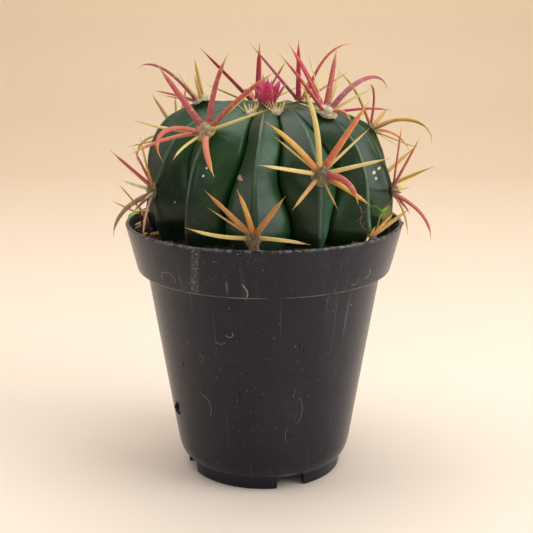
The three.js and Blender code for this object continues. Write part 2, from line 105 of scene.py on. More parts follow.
class Sheet:
    # one material with a Principled shader and short ways to feed it
    def __init__(self, name):
        self.material = bpy.data.materials.new(name)
        self.material.use_nodes = True
        self.tree = self.material.node_tree
        self.tree.nodes.clear()
        self.out = self.tree.nodes.new("ShaderNodeOutputMaterial")
        self.shader = self.tree.nodes.new("ShaderNodeBsdfPrincipled")
        self.tree.links.new(self.shader.outputs[0], self.out.inputs[0])

    def feed(self, socket, value):
        if isinstance(value, str):
            value = linear(value)
        if isinstance(value, Wire):
            self.tree.links.new(value.socket, socket)
        elif socket.type == "RGBA":
            socket.default_value = (*value, 1.0)
        else:
            socket.default_value = value

    def node(self, kind, settings, sockets, output=0):
        made = self.tree.nodes.new(kind)
        for key, value in settings.items():
            setattr(made, key, value)
        for key, value in sockets.items():
            self.feed(made.inputs[key], value)
        return Wire(self, made.outputs[output])

    def place(self):  # where a point is on the object, in millimetres
        here = self.node("ShaderNodeTexCoord", {}, {}, "Object")
        return self.node("ShaderNodeVectorMath", {"operation": "SCALE"}, {0: here, "Scale": 1000.0})

    def stretched(self, vector, x, y, z):
        return self.node("ShaderNodeVectorMath", {"operation": "MULTIPLY"}, {0: vector, 1: (x, y, z)})

    def stored(self, name, output="Fac"):
        return self.node("ShaderNodeAttribute", {"attribute_name": name}, {}, output)

    def cloud(self, vector, scale, detail=3.0, roughness=0.5):
        return self.node("ShaderNodeTexNoise", {}, {
            "Vector": vector, "Scale": scale, "Detail": detail, "Roughness": roughness})

    def cells(self, vector, scale, output="Distance"):
        return self.node("ShaderNodeTexVoronoi", {}, {"Vector": vector, "Scale": scale}, output)

    def cellValue(self, vector, scale):  # one random number for each cell
        return self.node("ShaderNodeSeparateColor", {}, {0: self.cells(vector, scale, "Color")})

    def specks(self, vector, scale, inner, outer, keep, keepAll):  # a soft dot in some of the cells
        dots = 1 - self.cells(vector, scale).step(inner, outer)
        return dots * self.cellValue(vector, scale).step(keep, keepAll)

    def awayFrom(self, vector, centre):
        return self.node("ShaderNodeVectorMath", {"operation": "DISTANCE"}, {0: vector, 1: centre}, "Value")

    def wave(self, value, pitch):
        return self.node("ShaderNodeMath", {"operation": "SINE"}, {0: value * (2 * pi / pitch)})

    def mix(self, amount, a, b):
        return self.node("ShaderNodeMix", {"data_type": "RGBA"}, {0: amount, 6: a, 7: b}, 2)

    def bump(self, height, strength, distance, under=None):
        sockets = {"Height": height, "Strength": strength, "Distance": distance}
        if under is not None:
            sockets["Normal"] = under
        return self.node("ShaderNodeBump", {}, sockets)

    def lay(self, amount, tint):  # a tint over the colour so far
        self.colour = self.mix(amount, self.colour, tint)

    def finish(self, roughness, normal=None, **fixed):
        self.feed(self.shader.inputs["Base Color"], self.colour)
        self.feed(self.shader.inputs["Roughness"], roughness)
        if normal is not None:
            self.feed(self.shader.inputs["Normal"], normal)
        for name, value in fixed.items():
            self.feed(self.shader.inputs[name.replace("_", " ")], value)
        return self.material


class Sky(Sheet):
    # the same short ways, for the light that comes from all round
    def __init__(self, name):
        self.world = bpy.data.worlds.new(name)
        self.world.use_nodes = True
        self.tree = self.world.node_tree


# mesh helpers
class Shape:
    # points, faces and values gathered for one mesh
    def __init__(self):
        self.points = []
        self.faces = []
        self.values = {}

    def add(self, point, **values):
        self.points.append(Vector(point))
        for key, value in values.items():
            self.values.setdefault(key, []).append(value)
        return len(self.points) - 1

    def joinRings(self, rings, flip=False):
        for low, high in zip(rings, rings[1:]):
            count = len(low)
            for k in range(count):
                n = (k + 1) % count
                quad = (low[k], high[k], high[n], low[n]) if flip else (low[k], low[n], high[n], high[k])
                self.faces.append(quad)

    def capRing(self, ring, middle, flip=False):
        count = len(ring)
        for k in range(count):
            n = (k + 1) % count
            self.faces.append((middle, ring[n], ring[k]) if not flip else (middle, ring[k], ring[n]))

    def piece(self, name, material, slot, replaced=None):
        mesh = bpy.data.meshes.new(name)
        mesh.from_pydata([tuple(p * mm for p in point) for point in self.points], [], self.faces)
        mesh.update()
        mesh.polygons.foreach_set("use_smooth", [True] * len(mesh.polygons))
        for key, values in self.values.items():
            if isinstance(values[0], tuple):
                layer = mesh.color_attributes.new(key, "FLOAT_COLOR", "POINT")
                layer.data.foreach_set("color", [c for v in values for c in (*v, 1.0)])
            else:
                layer = mesh.attributes.new(key, "FLOAT", "POINT")
                layer.data.foreach_set("value", values)
        piece = bpy.data.objects.new(name, mesh)
        bpy.context.scene.collection.objects.link(piece)
        mesh.materials.append(material)
        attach(piece, "root")
        if replaced:
            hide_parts(replaced)
        return piece


# the stem's form, which the areoles and spines follow as well
stem = {
    "axis": (2.3, 0.0),
    "radius": 37.4,
    "top": 115.0,
    "equator": 83.0,
    "buried": 21.0,
    "shoulder": 2.6,
    "dip": 1.5,
    "dipRadius": 7.0,
    "ribs": [-7.6, 22, 48, 76, 103, 130, 157, 190, 214, 239, 268, 296, 320.5],
    # degrees by which a rib leans sideways on its way down
    "ribDrift": [0, -1, -1.2, 0, 0, 0, 0, 0, 0, 0, 0, 0, -1],
    "grooveShift": [0, 0, 0, 0, 0, 0, 0, 0, 0, 0, 0, 0, 2.2],
    # where a rib stands prouder or flatter than the rest: height, place along the rib, reach
    "ribBulge": {10: (3.4, 31, 13), 9: (1.5, 30, 14), 3: (-1.4, 44, 14), 2: (0.6, 42, 14)},
    "grooveDepth": 6.6,
    "swell": 0.9,
    "swellReach": 5.5,
    "rows": 150,
    "columns": 13,
    "foot": 0.94,  # part of half a turn at which the sunk end is closed
    "tableSteps": 1600,
}


def crestAt(turn):
    s, c = max(sin(turn), 0.0), cos(turn)
    power = 2 / stem["shoulder"] if turn <= pi / 2 else 1.0
    reach = stem["top"] - stem["equator"] if turn <= pi / 2 else stem["buried"]
    r = stem["radius"] * s ** power
    z = stem["equator"] + copysign(reach * abs(c) ** power, c)
    return r, z - stem["dip"] * exp(-(r / stem["dipRadius"]) ** 2)


crestTable = []
for step in range(stem["tableSteps"] + 1):
    r, z = crestAt(pi * stem["foot"] * step / stem["tableSteps"])
    last = crestTable[-1] if crestTable else (r, z, 0.0)
    crestTable.append((r, z, last[2] + hypot(r - last[0], z - last[1])))
crestLength = crestTable[-1][2]


def crestPoint(s):  # radius, height and the downward direction at arc length s from the crown's centre
    wanted = clamp(s, 0.0, crestLength)
    low, high = 0, len(crestTable) - 1
    while high - low > 1:
        middle = (low + high) // 2
        if crestTable[middle][2] < wanted:
            low = middle
        else:
            high = middle
    a, b = crestTable[low], crestTable[high]
    t = (wanted - a[2]) / max(b[2] - a[2], 1e-9)
    outward, upward = b[0] - a[0], b[1] - a[1]
    length = hypot(outward, upward)
    return a[0] + outward * t, a[1] + upward * t, outward / length, upward / length


areoleNudge = {-1: 3.9, 8: -2.5, 13: -2}  # millimetres along the rib


def areoleArc(n):
    return max(21 + 4.4 * n - 0.05 * n * n - 1.7 * max(n - 9, 0) + areoleNudge.get(n, 0), 3.5)


areoles = [{"n": n, "rib": (2 + 5 * n) % 13, "s": areoleArc(n)} for n in range(-5, 14)]


def nearAreole(rib, s, reach, first=-1):
    places = [a["s"] for a in areoles if a["rib"] == rib and a["n"] >= first]
    return sum(exp(-((s - place) / reach) ** 2) for place in places)


def ribWidth(rib, s):
    return 1 + 0.8 * nearAreole(rib, s, 11)


def grooveAzimuth(rib, s):  # between this rib and the next one round
    there = (rib + 1) % 13
    apart = (stem["ribs"][there] - stem["ribs"][rib]) % 360
    mine, theirs = ribWidth(rib, s), ribWidth(there, s)
    return stem["ribs"][rib] + apart * mine / (mine + theirs) + stem["grooveShift"][rib]


def ribAzimuth(rib, s):
    return stem["ribs"][rib] + stem["ribDrift"][rib] * smoothStep(s, 20, 60)


def ribBulge(rib, s):
    height, middle, reach = stem["ribBulge"].get(rib, (0, 0, 1))
    return height * exp(-((s - middle) / reach) ** 2)


def ribSection(u):  # 0 on the crest, 1 at the bottom of the groove
    u = abs(u)
    return 0.8 * u + 0.2 * (1 - sqrt(max(1 - u ** 3, 0)))


def stemSurface(rib, u, s):
    wobble = 1.1 * noise.noise(Vector((rib * 3.1, s * 0.045, 0.4))) * smoothStep(s, 8, 25)
    crest = ribAzimuth(rib, s) + wobble
    if u < 0:
        edge = grooveAzimuth((rib - 1) % 13, s) - (360 if rib == 0 else 0)
    else:
        edge = grooveAzimuth(rib, s)
    azimuth = radians(crest + (edge - crest) * abs(u))
    fall = ribSection(u)
    opening = 0.04 + 0.96 * smoothStep(s, 3, 50)
    closing = 1 - 0.6 * smoothStep(s, 66, crestLength)
    bulge = nearAreole(rib, s, stem["swellReach"]) * stem["swell"] * (1 - fall) ** 1.5
    bulge += ribBulge(rib, s) * (1 - fall)
    between = 0.5 * cos(s * 0.5 + rib) * (1 - fall) * smoothStep(s, 20, 40)
    depth = stem["grooveDepth"] * opening * closing * fall - bulge - between * 0.25
    keel = 0.45 * exp(-(u / 0.09) ** 2) * smoothStep(s, 6, 18)
    crease = 1.5 * exp(-((1 - abs(u)) / 0.05) ** 2) * smoothStep(s, 8, 30)
    depth += crease - keel
    r, z, downR, downZ = crestPoint(s)
    r, z = r + downZ * depth, z - downR * depth
    r = max(r, 0.3)
    out = Vector((sin(azimuth), -cos(azimuth), 0))
    point = Vector((*stem["axis"], z)) + out * r
    lump = noise.noise(point * 0.07) * 0.7 + noise.noise(point * 0.25) * 0.14
    outward = -out * downZ + Vector((0, 0, downR))
    return point + outward * lump * smoothStep(s, 6, 30)


def areoleFrame(areole):
    rib, s = areole["rib"], areole["s"]
    r, z, downR, downZ = crestPoint(s)
    out = polar(ribAzimuth(rib, s), 1)
    up = -out * downR - Vector((0, 0, downZ))
    normal = -out * downZ + Vector((0, 0, downR))
    bulge = 0 if areole["n"] < -1 else nearAreole(rib, s, stem["swellReach"]) * stem["swell"]
    bulge += ribBulge(rib, s)
    centre = Vector((stem["axis"][0], stem["axis"][1], z)) + out * r + normal * bulge
    return {"centre": centre, "up": up, "normal": normal, "side": up.cross(normal)}


# camera, floor and light
view = {
    "place": (0.81, -320.41, 146.96),
    "pitch": 75.48,
    "lens": 71.59,
    "floorColour": "eddccb",
    "backColour": "ecd2b1",
    "worldSide": "f4f1ee",
    "worldFront": "5a544f",
    "worldTurn": (0.75, 0.66, 0.0),  # towards the brightest side
    "worldStrength": 0.4,
    "rightPower": 3.0,
    "leftPower": 1.1,
    "topPower": 5.6,
    "panelPower": 0.45,
    "lightAim": (0, 0, 70),
}

cameraData = bpy.data.cameras.new("camera")
camera = bpy.data.objects.new("camera", cameraData)
camera.location = [v * mm for v in view["place"]]
camera.rotation_euler = (radians(view["pitch"]), 0, 0)
cameraData.lens = view["lens"]
cameraData.sensor_width = 36
cameraData.clip_start = 0.01
bpy.context.scene.collection.objects.link(camera)
bpy.context.scene.camera = camera
bpy.context.scene.view_settings.view_transform = "Standard"


def floorMaterial():
    sheet = Sheet("floor")
    place = sheet.place()
    far = (place.part(1) + place.part(2) * 0.6).step(-60, 760)
    tone = sheet.cloud(place, 0.004, 2.0)
    sheet.colour = sheet.mix(far + (tone - 0.5) * 0.08, view["floorColour"], view["backColour"])
    return sheet.finish(0.9)


floorMesh = bpy.data.meshes.new("floor")
floorPoints = []
floorFaces = []
floorSide = 1400
floorProfile = [(-900, 0), (300, 0), (520, 8), (640, 40), (720, 110), (760, 240), (770, 500), (770, 1200)]
for x in (-floorSide, floorSide):
    floorPoints += [(x * mm, y * mm, z * mm) for y, z in floorProfile]
count = len(floorProfile)
for k in range(count - 1):
    floorFaces.append((k, k + count, k + count + 1, k + 1))
floorMesh.from_pydata(floorPoints, [], floorFaces)
floorMesh.polygons.foreach_set("use_smooth", [True] * len(floorMesh.polygons))
floorMesh.materials.append(floorMaterial())
floor = bpy.data.objects.new("floor", floorMesh)
bpy.context.scene.collection.objects.link(floor)

sky = Sky("studio")  # brighter to the sides and above, dimmer behind the camera
direction = sky.node("ShaderNodeTexCoord", {}, {}, "Generated")
depth = sky.node(
    "ShaderNodeVectorMath", {"operation": "DOT_PRODUCT"}, {0: direction, 1: view["worldTurn"]}, "Value")
background = sky.tree.nodes["Background"]
sky.feed(background.inputs["Color"], sky.mix(depth.step(-0.95, -0.05), view["worldFront"], view["worldSide"]))
sky.feed(background.inputs["Strength"], view["worldStrength"])
bpy.context.scene.world = sky.world


def softLight(name, place, size, power, colour):
    data = bpy.data.lights.new(name, "AREA")
    data.shape = "RECTANGLE"
    data.size, data.size_y = size[0] * mm, size[1] * mm
    data.energy = power
    data.color = colour
    light = bpy.data.objects.new(name, data)
    light.location = [v * mm for v in place]
    aim = Vector(view["lightAim"]) - Vector(place)
    light.rotation_euler = aim.to_track_quat("-Z", "Y").to_euler()
    bpy.context.scene.collection.objects.link(light)


softLight("rightLight", (520, -200, 330), (420, 620), view["rightPower"], (0.94, 0.98, 1.0))
softLight("leftLight", (-560, -60, 330), (420, 620), view["leftPower"], (1.0, 0.97, 0.94))
softLight("topLight", (0, 120, 760), (1000, 760), view["topPower"], (0.97, 0.99, 1.0))
softLight("panelLight", (-190, -620, 330), (260, 320), view["panelPower"], (0.88, 0.95, 1.0))
print("stage, camera and lights are set")

# pot
potSpec = {
    "sides": 192,
    "rimRadius": 42.5,
    "height": 79.2,
    "wall": 1.1,
    "lipBottom": 65.0,
    "lipBottomRadius": 39.1,
    "bodyTopRadius": 36.2,
    "bodyFootRadius": 27.4,
    "footRadius": 24.25,
    "floorTop": 4.9,
    "floorUnder": 3.4,
    "padRadius": 6.0,
    "notchWidth": 8.5,
    "notchHeight": 3.9,
    "notchDepth": 8.0,
    "nickDepth": 1.6,
    "notchStart": 20,
    "notchCount": 8,
    "drainRadius": 2.2,
    "drainAt": 15.0,
    "colour": "0b0b1c",
    "dust": "a8a4a2",
}


def roundedCorner(before, corner, after, radius, steps=4):
    a = (Vector(before) - Vector(corner)).normalized() * radius + Vector(corner)
    b = (Vector(after) - Vector(corner)).normalized() * radius + Vector(corner)
    made = []
    for k in range(steps + 1):
        t = k / steps
        made.append(tuple(a * (1 - t) ** 2 + Vector(corner) * 2 * t * (1 - t) + b * t * t))
    return made


def potProfile():
    p = potSpec
    raw = [
        ((0, 0), 0), ((p["padRadius"], 0), 0.3), ((p["padRadius"] + 0.5, p["floorUnder"]), 0.3),
        ((p["footRadius"] - 2.6, p["floorUnder"]), 0.4), ((p["footRadius"] - 1.7, 0), 0.3),
        ((p["footRadius"], 0), 0.35), ((p["footRadius"] + 0.35, 4), 0.4), ((26.2, 5.3), 0.35),
        ((p["bodyFootRadius"] - 0.4, 7.2), 1.2), ((p["bodyFootRadius"], 9), 1.0),
        ((p["bodyTopRadius"], p["lipBottom"] - 0.9), 0.4),
        ((p["lipBottomRadius"] - 0.4, p["lipBottom"] - 0.4), 0.3),
        ((p["lipBottomRadius"], p["lipBottom"]), 0.3), ((p["rimRadius"], p["height"] - 0.35), 0.3),
        ((p["rimRadius"] - 0.35, p["height"]), 0.25), ((p["rimRadius"] - p["wall"], p["height"]), 0.3),
        ((p["lipBottomRadius"] - p["wall"], p["lipBottom"] + 1.1), 0.4),
        ((p["bodyTopRadius"] - p["wall"], p["lipBottom"] + 0.5), 0.3),
        ((p["bodyFootRadius"] - p["wall"], 9), 1.0), ((25.1, 6.5), 0.8), ((22, p["floorTop"]), 0.8),
        ((0, p["floorTop"]), 0),
    ]
    points = [raw[0][0]]
    for (before, _), (corner, radius), (after, _) in zip(raw, raw[1:], raw[2:]):
        points += roundedCorner(before, corner, after, radius)
    points.append(raw[-1][0])
    fine = [points[0]]
    for a, b in zip(points, points[1:]):  # long runs are split so that the wall can wave a little
        cuts = max(1, int(dist(a, b) / 3.0))
        for k in range(1, cuts + 1):
            fine.append((a[0] + (b[0] - a[0]) * k / cuts, a[1] + (b[1] - a[1]) * k / cuts))
    return fine


def potMaterial():
    sheet = Sheet("potPlastic")
    place = sheet.place()
    x, y, z = place.part(0), place.part(1), place.part(2)
    angle = sheet.node("ShaderNodeMath", {"operation": "ARCTAN2"}, {0: x, 1: -y})
    around = angle * 33.0  # millimetres round the wall at mid height
    wallMap = sheet.node("ShaderNodeCombineXYZ", {}, {0: around, 1: z, 2: 0.0})
    base = linear(potSpec["colour"])
    tone = sheet.cloud(sheet.stretched(place, 1, 1, 0.25), 0.05, 4.0)
    sheet.colour = sheet.mix(tone.step(0.35, 0.7), base, blendColour(base, linear("27262f"), 0.4))
    # a dusty haze in soft patches
    sheet.lay(sheet.cloud(place, 0.11, 6.0, 0.65).step(0.52, 0.78) * 0.16, "4e4a4a")
    marks = None

    def addMark(mask):
        nonlocal marks
        marks = mask if marks is None else marks.atLeast(mask)

    # loose specks of dust, each cell holding at most one
    for scale, size, keep in ((0.55, 0.1, 0.9), (0.3, 0.07, 0.84), (1.2, 0.16, 0.92)):
        addMark(sheet.specks(wallMap, scale, size * 0.45, size, keep, keep + 0.03) * 0.75)
    # fine mist of dust, thickest low in front of the pot and along the lip
    mistPlace = ((around + 4.5) ** 2 * 0.012 + (z - 25) ** 2 * 0.02).atMost(9)
    mistHere = (1 - mistPlace.step(0.2, 1.6)) * 0.7 + z.step(64, 66) * 0.4 + 0.15
    addMark(sheet.specks(wallMap, 1.9, 0.12, 0.24, 0.8, 0.84) * mistHere * 0.4)
    # curled hairlines and scuffs, as arcs of thin rings: place round the wall, height, radius,
    # half width, middle and half spread of the arc in degrees, strength
    curls = [
        (-24.9, 67.4, 2.4, 0.13, 90, 105, 0.6), (-3.5, 67.8, 5.0, 0.5, 180, 24, 0.4),
        (-6.9, 66.4, 3.2, 0.24, 15, 42, 1.0), (-9.6, 52.6, 1.0, 0.16, 300, 95, 0.9),
        (-12.4, 51.5, 2.4, 0.13, 270, 50, 0.45), (-22.5, 27.0, 4.6, 0.14, 20, 55, 0.6),
        (-20.0, 43.2, 1.2, 0.13, 0, 110, 0.35), (15.5, 33.2, 6.1, 0.15, 180, 20, 0.7),
        (5.5, 27.5, 7.2, 0.14, 0, 44, 0.4), (14.0, 19.5, 6.6, 0.15, 180, 28, 0.5),
        (23.4, 67.6, 1.3, 0.14, -60, 80, 0.6), (27.2, 68.9, 1.4, 0.18, -20, 80, 0.85),
        (18.0, 52.0, 9.0, 0.12, 165, 16, 0.3), (31.0, 24.0, 12.0, 0.12, 95, 22, 0.3),
    ]
    waver = sheet.cloud(wallMap, 0.6, 3.0) - 0.5
    for spot, height, radius, half, middle, spread, strength in curls:
        dx, dz = around - spot, z - height
        ring = abs((dx * dx + dz * dz) ** 0.5 + waver * 0.7 - radius)
        turn = radians(middle)
        along = (dx * cos(turn) + dz * sin(turn)) / radius
        limit = cos(radians(spread))
        addMark((1 - ring.step(half * 0.2, half * 0.8)) * along.step(limit, limit + 0.12) * strength * 0.75)
    # the rough upright scuff on the lip
    strip = (1 - abs(around + 17 - (z - 65.4) * 0.14).step(0.7, 1.4)) * z.step(65.2, 66)
    addMark(strip * sheet.cloud(place, 2.6, 4.0, 0.8).step(0.5, 0.6) * 0.5)
    # long faint streaks on the lower wall
    streak = sheet.cloud(sheet.stretched(wallMap, 1, 0.05, 1), 0.5, 4.0).step(0.62, 0.74)
    addMark(streak * 0.1)
    # scuffed rim and the pale parting line below the lip
    addMark(z.step(78.3, 79.0) * sheet.cloud(place, 0.5, 5.0, 0.7).step(0.42, 0.62) * 0.4)
    parting = (1 - abs(z - 64.75).step(0.12, 0.3)) * sheet.cloud(place, 0.12, 3.0).step(0.35, 0.6)
    addMark(parting * 0.4)
    sheet.lay(marks, potSpec["dust"])
    # small dark upright nicks: place round the wall, height, half width, half length
    nickList = [
        (10.2, 48.8, 0.28, 1.1), (11.3, 47.0, 0.25, 0.8), (12.5, 56.7, 0.17, 0.8), (13.2, 53.5, 0.16, 0.6),
        (14.2, 51.8, 0.16, 0.8), (15.0, 45.9, 0.2, 0.7), (12.9, 44.4, 0.17, 0.6), (-7.4, 33.3, 0.36, 1.4),
        (-27.4, 39.6, 0.32, 1.2), (-22.4, 8.3, 0.42, 0.8), (20.2, 21.7, 0.3, 0.4), (9.0, 19.2, 0.26, 0.8),
        (41.0, 12.9, 0.32, 0.9), (-19.5, 64.2, 0.5, 0.35), (13.6, 58.6, 0.15, 0.9), (11.6, 60.0, 0.14, 0.8),
        (16.4, 49.0, 0.16, 0.6),
    ]
    nicks = None
    for spot, height, wide, tall in nickList:
        dx, dz = (around - spot) / wide, (z - height) / tall
        nick = 1 - (dx * dx + dz * dz + (waver * 1.2)).step(0.5, 1.2)
        nicks = nick if nicks is None else nicks.atLeast(nick)
    sheet.lay(nicks * 0.9, (0.003, 0.003, 0.003))
    grain = sheet.cloud(place, 3.2, 3.0, 0.6)
    rough = 0.25 + grain * 0.08 + marks * 0.3 + nicks * 0.5
    normal = sheet.bump(grain, 0.12, 0.0002)
    normal = sheet.bump(marks * 0.3 - nicks * 2, 0.6, 0.0004, normal)
    return sheet.finish(
        rough, normal, Specular_IOR_Level=0.3, Sheen_Weight=0.1, Sheen_Roughness=0.3)


def buildPot():
    shape = Shape()
    profile = potProfile()
    sides = potSpec["sides"]
    bottom = shape.add((0, 0, 0))
    rings = []
    for r, z in profile[1:-1]:
        ring = []
        for k in range(sides):
            azimuth = k * 360 / sides
            point = polar(azimuth, r, z)
            if z > 8:
                around = radians(azimuth)
                wave = noise.noise(Vector((sin(around) * 1.3, cos(around) * 1.3, z * 0.02)))
                point += polar(azimuth, 0.22 * wave * smoothStep(z, 8, 70))
            if z > 78.5:
                point.z += 0.16 * noise.noise(point * 0.35)
            ring.append(shape.add(point))
        rings.append(ring)
    shape.joinRings(rings)
    shape.capRing(rings[0], bottom)
    shape.capRing(rings[-1], shape.add((0, 0, potSpec["floorTop"])), flip=True)
    pot = shape.piece("potBody", potMaterial(), slot="pot", replaced="pot")
    cutters = []
    for k in range(potSpec["notchCount"]):
        deep = k % 2 == 0
        height = potSpec["notchHeight"] if deep else potSpec["notchHeight"] - 1
        depth = potSpec["notchDepth" if deep else "nickDepth"]
        azimuth = potSpec["notchStart"] + k * 360 / potSpec["notchCount"]
        turn = Matrix.Rotation(radians(azimuth), 4, "Z")
        cutter = bmesh.new()
        bmesh.ops.create_cube(cutter, size=1.0)
        bmesh.ops.scale(cutter, vec=(potSpec["notchWidth"], depth, height + 2), verts=cutter.verts)
        for vertex in cutter.verts:  # the notch flares a little towards the ground
            if vertex.co.z < 0:
                vertex.co.x *= 1.1
        bmesh.ops.translate(cutter, vec=(0, -(25.0 if deep else 25.1), height / 2 - 1), verts=cutter.verts)
        bmesh.ops.bevel(cutter, geom=cutter.edges[:], offset=0.35, segments=2, affect="EDGES")
        bmesh.ops.transform(cutter, matrix=turn, verts=cutter.verts)
        cutters.append(cutter)
        if deep:
            drain = bmesh.new()
            bmesh.ops.create_cone(drain, cap_ends=True, segments=32, radius1=potSpec["drainRadius"],
                                  radius2=potSpec["drainRadius"], depth=8)
            bmesh.ops.translate(drain, vec=(0, -potSpec["drainAt"], 3), verts=drain.verts)
            bmesh.ops.transform(drain, matrix=turn, verts=drain.verts)
            cutters.append(drain)
    for cutter in cutters:
        bmesh.ops.scale(cutter, vec=(mm, mm, mm), verts=cutter.verts)
        tool = bpy.data.meshes.new("cutter")
        cutter.to_mesh(tool)
        cutter.free()
        toolObject = bpy.data.objects.new("cutter", tool)
        bpy.context.scene.collection.objects.link(toolObject)
        cut = pot.modifiers.new("cut", "BOOLEAN")
        cut.operation = "DIFFERENCE"
        cut.object = toolObject
        cut.solver = "EXACT"
        bpy.context.view_layer.update()
        fresh = bpy.data.meshes.new_from_object(pot.evaluated_get(bpy.context.evaluated_depsgraph_get()))
        pot.modifiers.clear()
        pot.data = fresh
        bpy.data.objects.remove(toolObject)
    pot.data.name = "potBody"
    edges = pot.modifiers.new("edges", "EDGE_SPLIT")
    edges.split_angle = radians(50)
    return pot


buildPot()
print("pot is built")


# stem skin
def stemMaterial():
    sheet = Sheet("stemSkin")
    place = sheet.place()
    crest, arc, near = sheet.stored("crest"), sheet.stored("arc"), sheet.stored("near")
    flank = sheet.stored("flank")  # 1 on the side of a rib that faces right, 0 on the other
    blotch = sheet.cloud(place, 0.06, 4.0, 0.55)
    fine = sheet.cloud(place, 0.9, 5.0, 0.6)
    sheet.colour = sheet.mix(blotch.step(0.35, 0.65), "122d14", "24461f")
    sheet.lay((1 - crest.step(0.0, 0.4)) * 0.14, "40583a")
    # fresher green towards the groove, which ends in a crease darkened with painted shade
    sheet.lay(crest.step(0.45, 0.9) * 0.45, "1b4a20")
    sheet.lay(crest.step(0.95, 0.99) * 0.75, "0a1a0c")
    # painted shade: the flanks that face away from the light are darkened to a patchy olive
    shadeNoise = sheet.cloud(place, 0.05, 4.0, 0.6)
    sheet.lay((1 - flank.step(0.3, 0.6)) * (0.35 + shadeNoise * 0.5), "22301a")
    # painted shade: the ribs on the shaded left are darkened almost to black
    shade = 1 - (place.part(0) + place.part(1) * 0.35 + (shadeNoise - 0.5) * 8).step(-33, -24)
    sheet.lay(shade * (1 - place.part(2).step(92, 108)) * 0.75, "11150f")
    # painted highlight: a grey blue sheen on the flanks that face the light, stronger towards the right
    paintedSheen = flank.step(0.5, 0.9) * (1 - abs(crest - 0.42).step(0.1, 0.45))
    paintedSheen = paintedSheen * sheet.cloud(place, 0.08, 3.0).step(0.3, 0.6) * (place.part(0) * 0.025 + 0.35).atLeast(0)
    sheet.lay(paintedSheen * 0.6, "557868")
    # mottling
    mottle = sheet.cloud(place, 0.3, 5.0, 0.65)
    sheet.lay(mottle.step(0.5, 0.72) * 0.3, "2f5230")
    # pale rubbed crest
    line = (1 - crest.step(0.01, 0.07)) * (0.3 + sheet.cloud(place, 0.16, 3.0).step(0.35, 0.65) * 0.7)
    line = line * (1 - arc.step(34, 60) * 0.55)
    sheet.lay(line * 0.42, "8a9a7a")
    # purplish dark shade just beside the crest on the older part
    beside = (1 - abs(crest - 0.2).step(0.0, 0.2)) * arc.step(28, 55)
    sheet.lay(beside * 0.35, "2a2f33")
    # corky rings round the areoles
    sheet.lay(near.step(0.55, 0.95) * 0.5, "59563f")
    # tiny pale dots in the skin
    sheet.lay(sheet.specks(place, 0.9, 0.1, 0.2, 0.8, 0.84) * 0.22, "a9b7a6")
    # healed scars: centre, radius and colour
    scars = [
        ((-6.5, -30.0, 97.1), 0.8, "b8987a"), ((-15.9, -27.3, 99.4), 0.34, "d8dcd2"),
        ((-16.8, -27.9, 97.3), 0.4, "dcdfd4"), ((-25.6, -19.5, 88.3), 0.3, "c8ccc4"),
        ((34.0, -10.1, 96.6), 0.55, "d2cda8"), ((32.4, -12.3, 95.7), 0.6, "d2cda8"),
        ((33.0, -12.5, 93.9), 0.5, "cdc7a0"), ((-10.6, -30.0, 90.2), 0.22, "c8ccc4"),
        ((20.4, -30.0, 90.0), 0.2, "c8ccc4"),
    ]
    rag = sheet.cloud(place, 1.3, 3.0)
    shallow = sheet.stretched(place, 1, 0.2, 1)
    for (x, y, z), radius, tint in scars:
        away = sheet.awayFrom(shallow, (x, y * 0.2, z))
        mask = 1 - (away + (rag - 0.5) * radius * 1.6).step(radius * 0.7, radius)
        sheet.lay(mask * 0.9, tint)
    # a yellow brown patch low on the right-hand rib
    patch = sheet.awayFrom(place, (37.1, -9.9, 82.2))
    patch = 1 - (patch + (sheet.cloud(place, 0.5, 4.0) - 0.5) * 6).step(2.0, 3.8)
    sheet.lay(patch * 0.75, "86772f")
    # dry brown skin close to the soil
    low = 1 - (place.part(2) + (blotch - 0.5) * 5).step(75, 79)
    sheet.lay(low * 0.45, "4a4430")
    rough = 0.34 + fine * 0.12 + line * 0.2 + blotch.step(0.4, 0.7) * 0.1
    normal = sheet.bump(fine, 0.1, 0.0003)
    normal = sheet.bump(sheet.cloud(place, 4.5, 2.0), 0.05, 0.0001, normal)
    return sheet.finish(
        rough, normal, Specular_IOR_Level=0.16,
        Coat_Weight=0.4, Coat_Roughness=0.24, Coat_Tint=(0.95, 1.0, 0.95))


def buildStem():
    shape = Shape()
    half = stem["columns"]
    us = [sin(k / half * pi / 2) for k in range(-half, half)]
    rings = []
    rows = stem["rows"]
    for row in range(rows):
        s = crestLength - (crestLength - 1.2) * row / (rows - 1)
        ring = []
        for rib in range(13):
            near = clamp(nearAreole(rib, s, 3.4, -5))
            for u in us:
                ring.append(shape.add(
                    stemSurface(rib, u, s), crest=abs(u), arc=s,
                    flank=smoothStep(u, -0.12, 0.02), near=near * exp(-(u / 0.32) ** 2)))
        rings.append(ring)
    shape.joinRings(rings)
    ends = ((rings[0], crestLength, -0.8, 1.0, False), (rings[-1], 0.0, 0.0, 0.0, True))
    for ring, s, lower, crest, flip in ends:
        middle = (*stem["axis"], crestPoint(s)[1] + lower)
        shape.capRing(ring, shape.add(middle, crest=crest, arc=s, flank=1.0, near=0.0), flip)
    return shape.piece("stemBody", stemMaterial(), slot="stem_skin", replaced="stem")


buildStem()
print("stem is built")


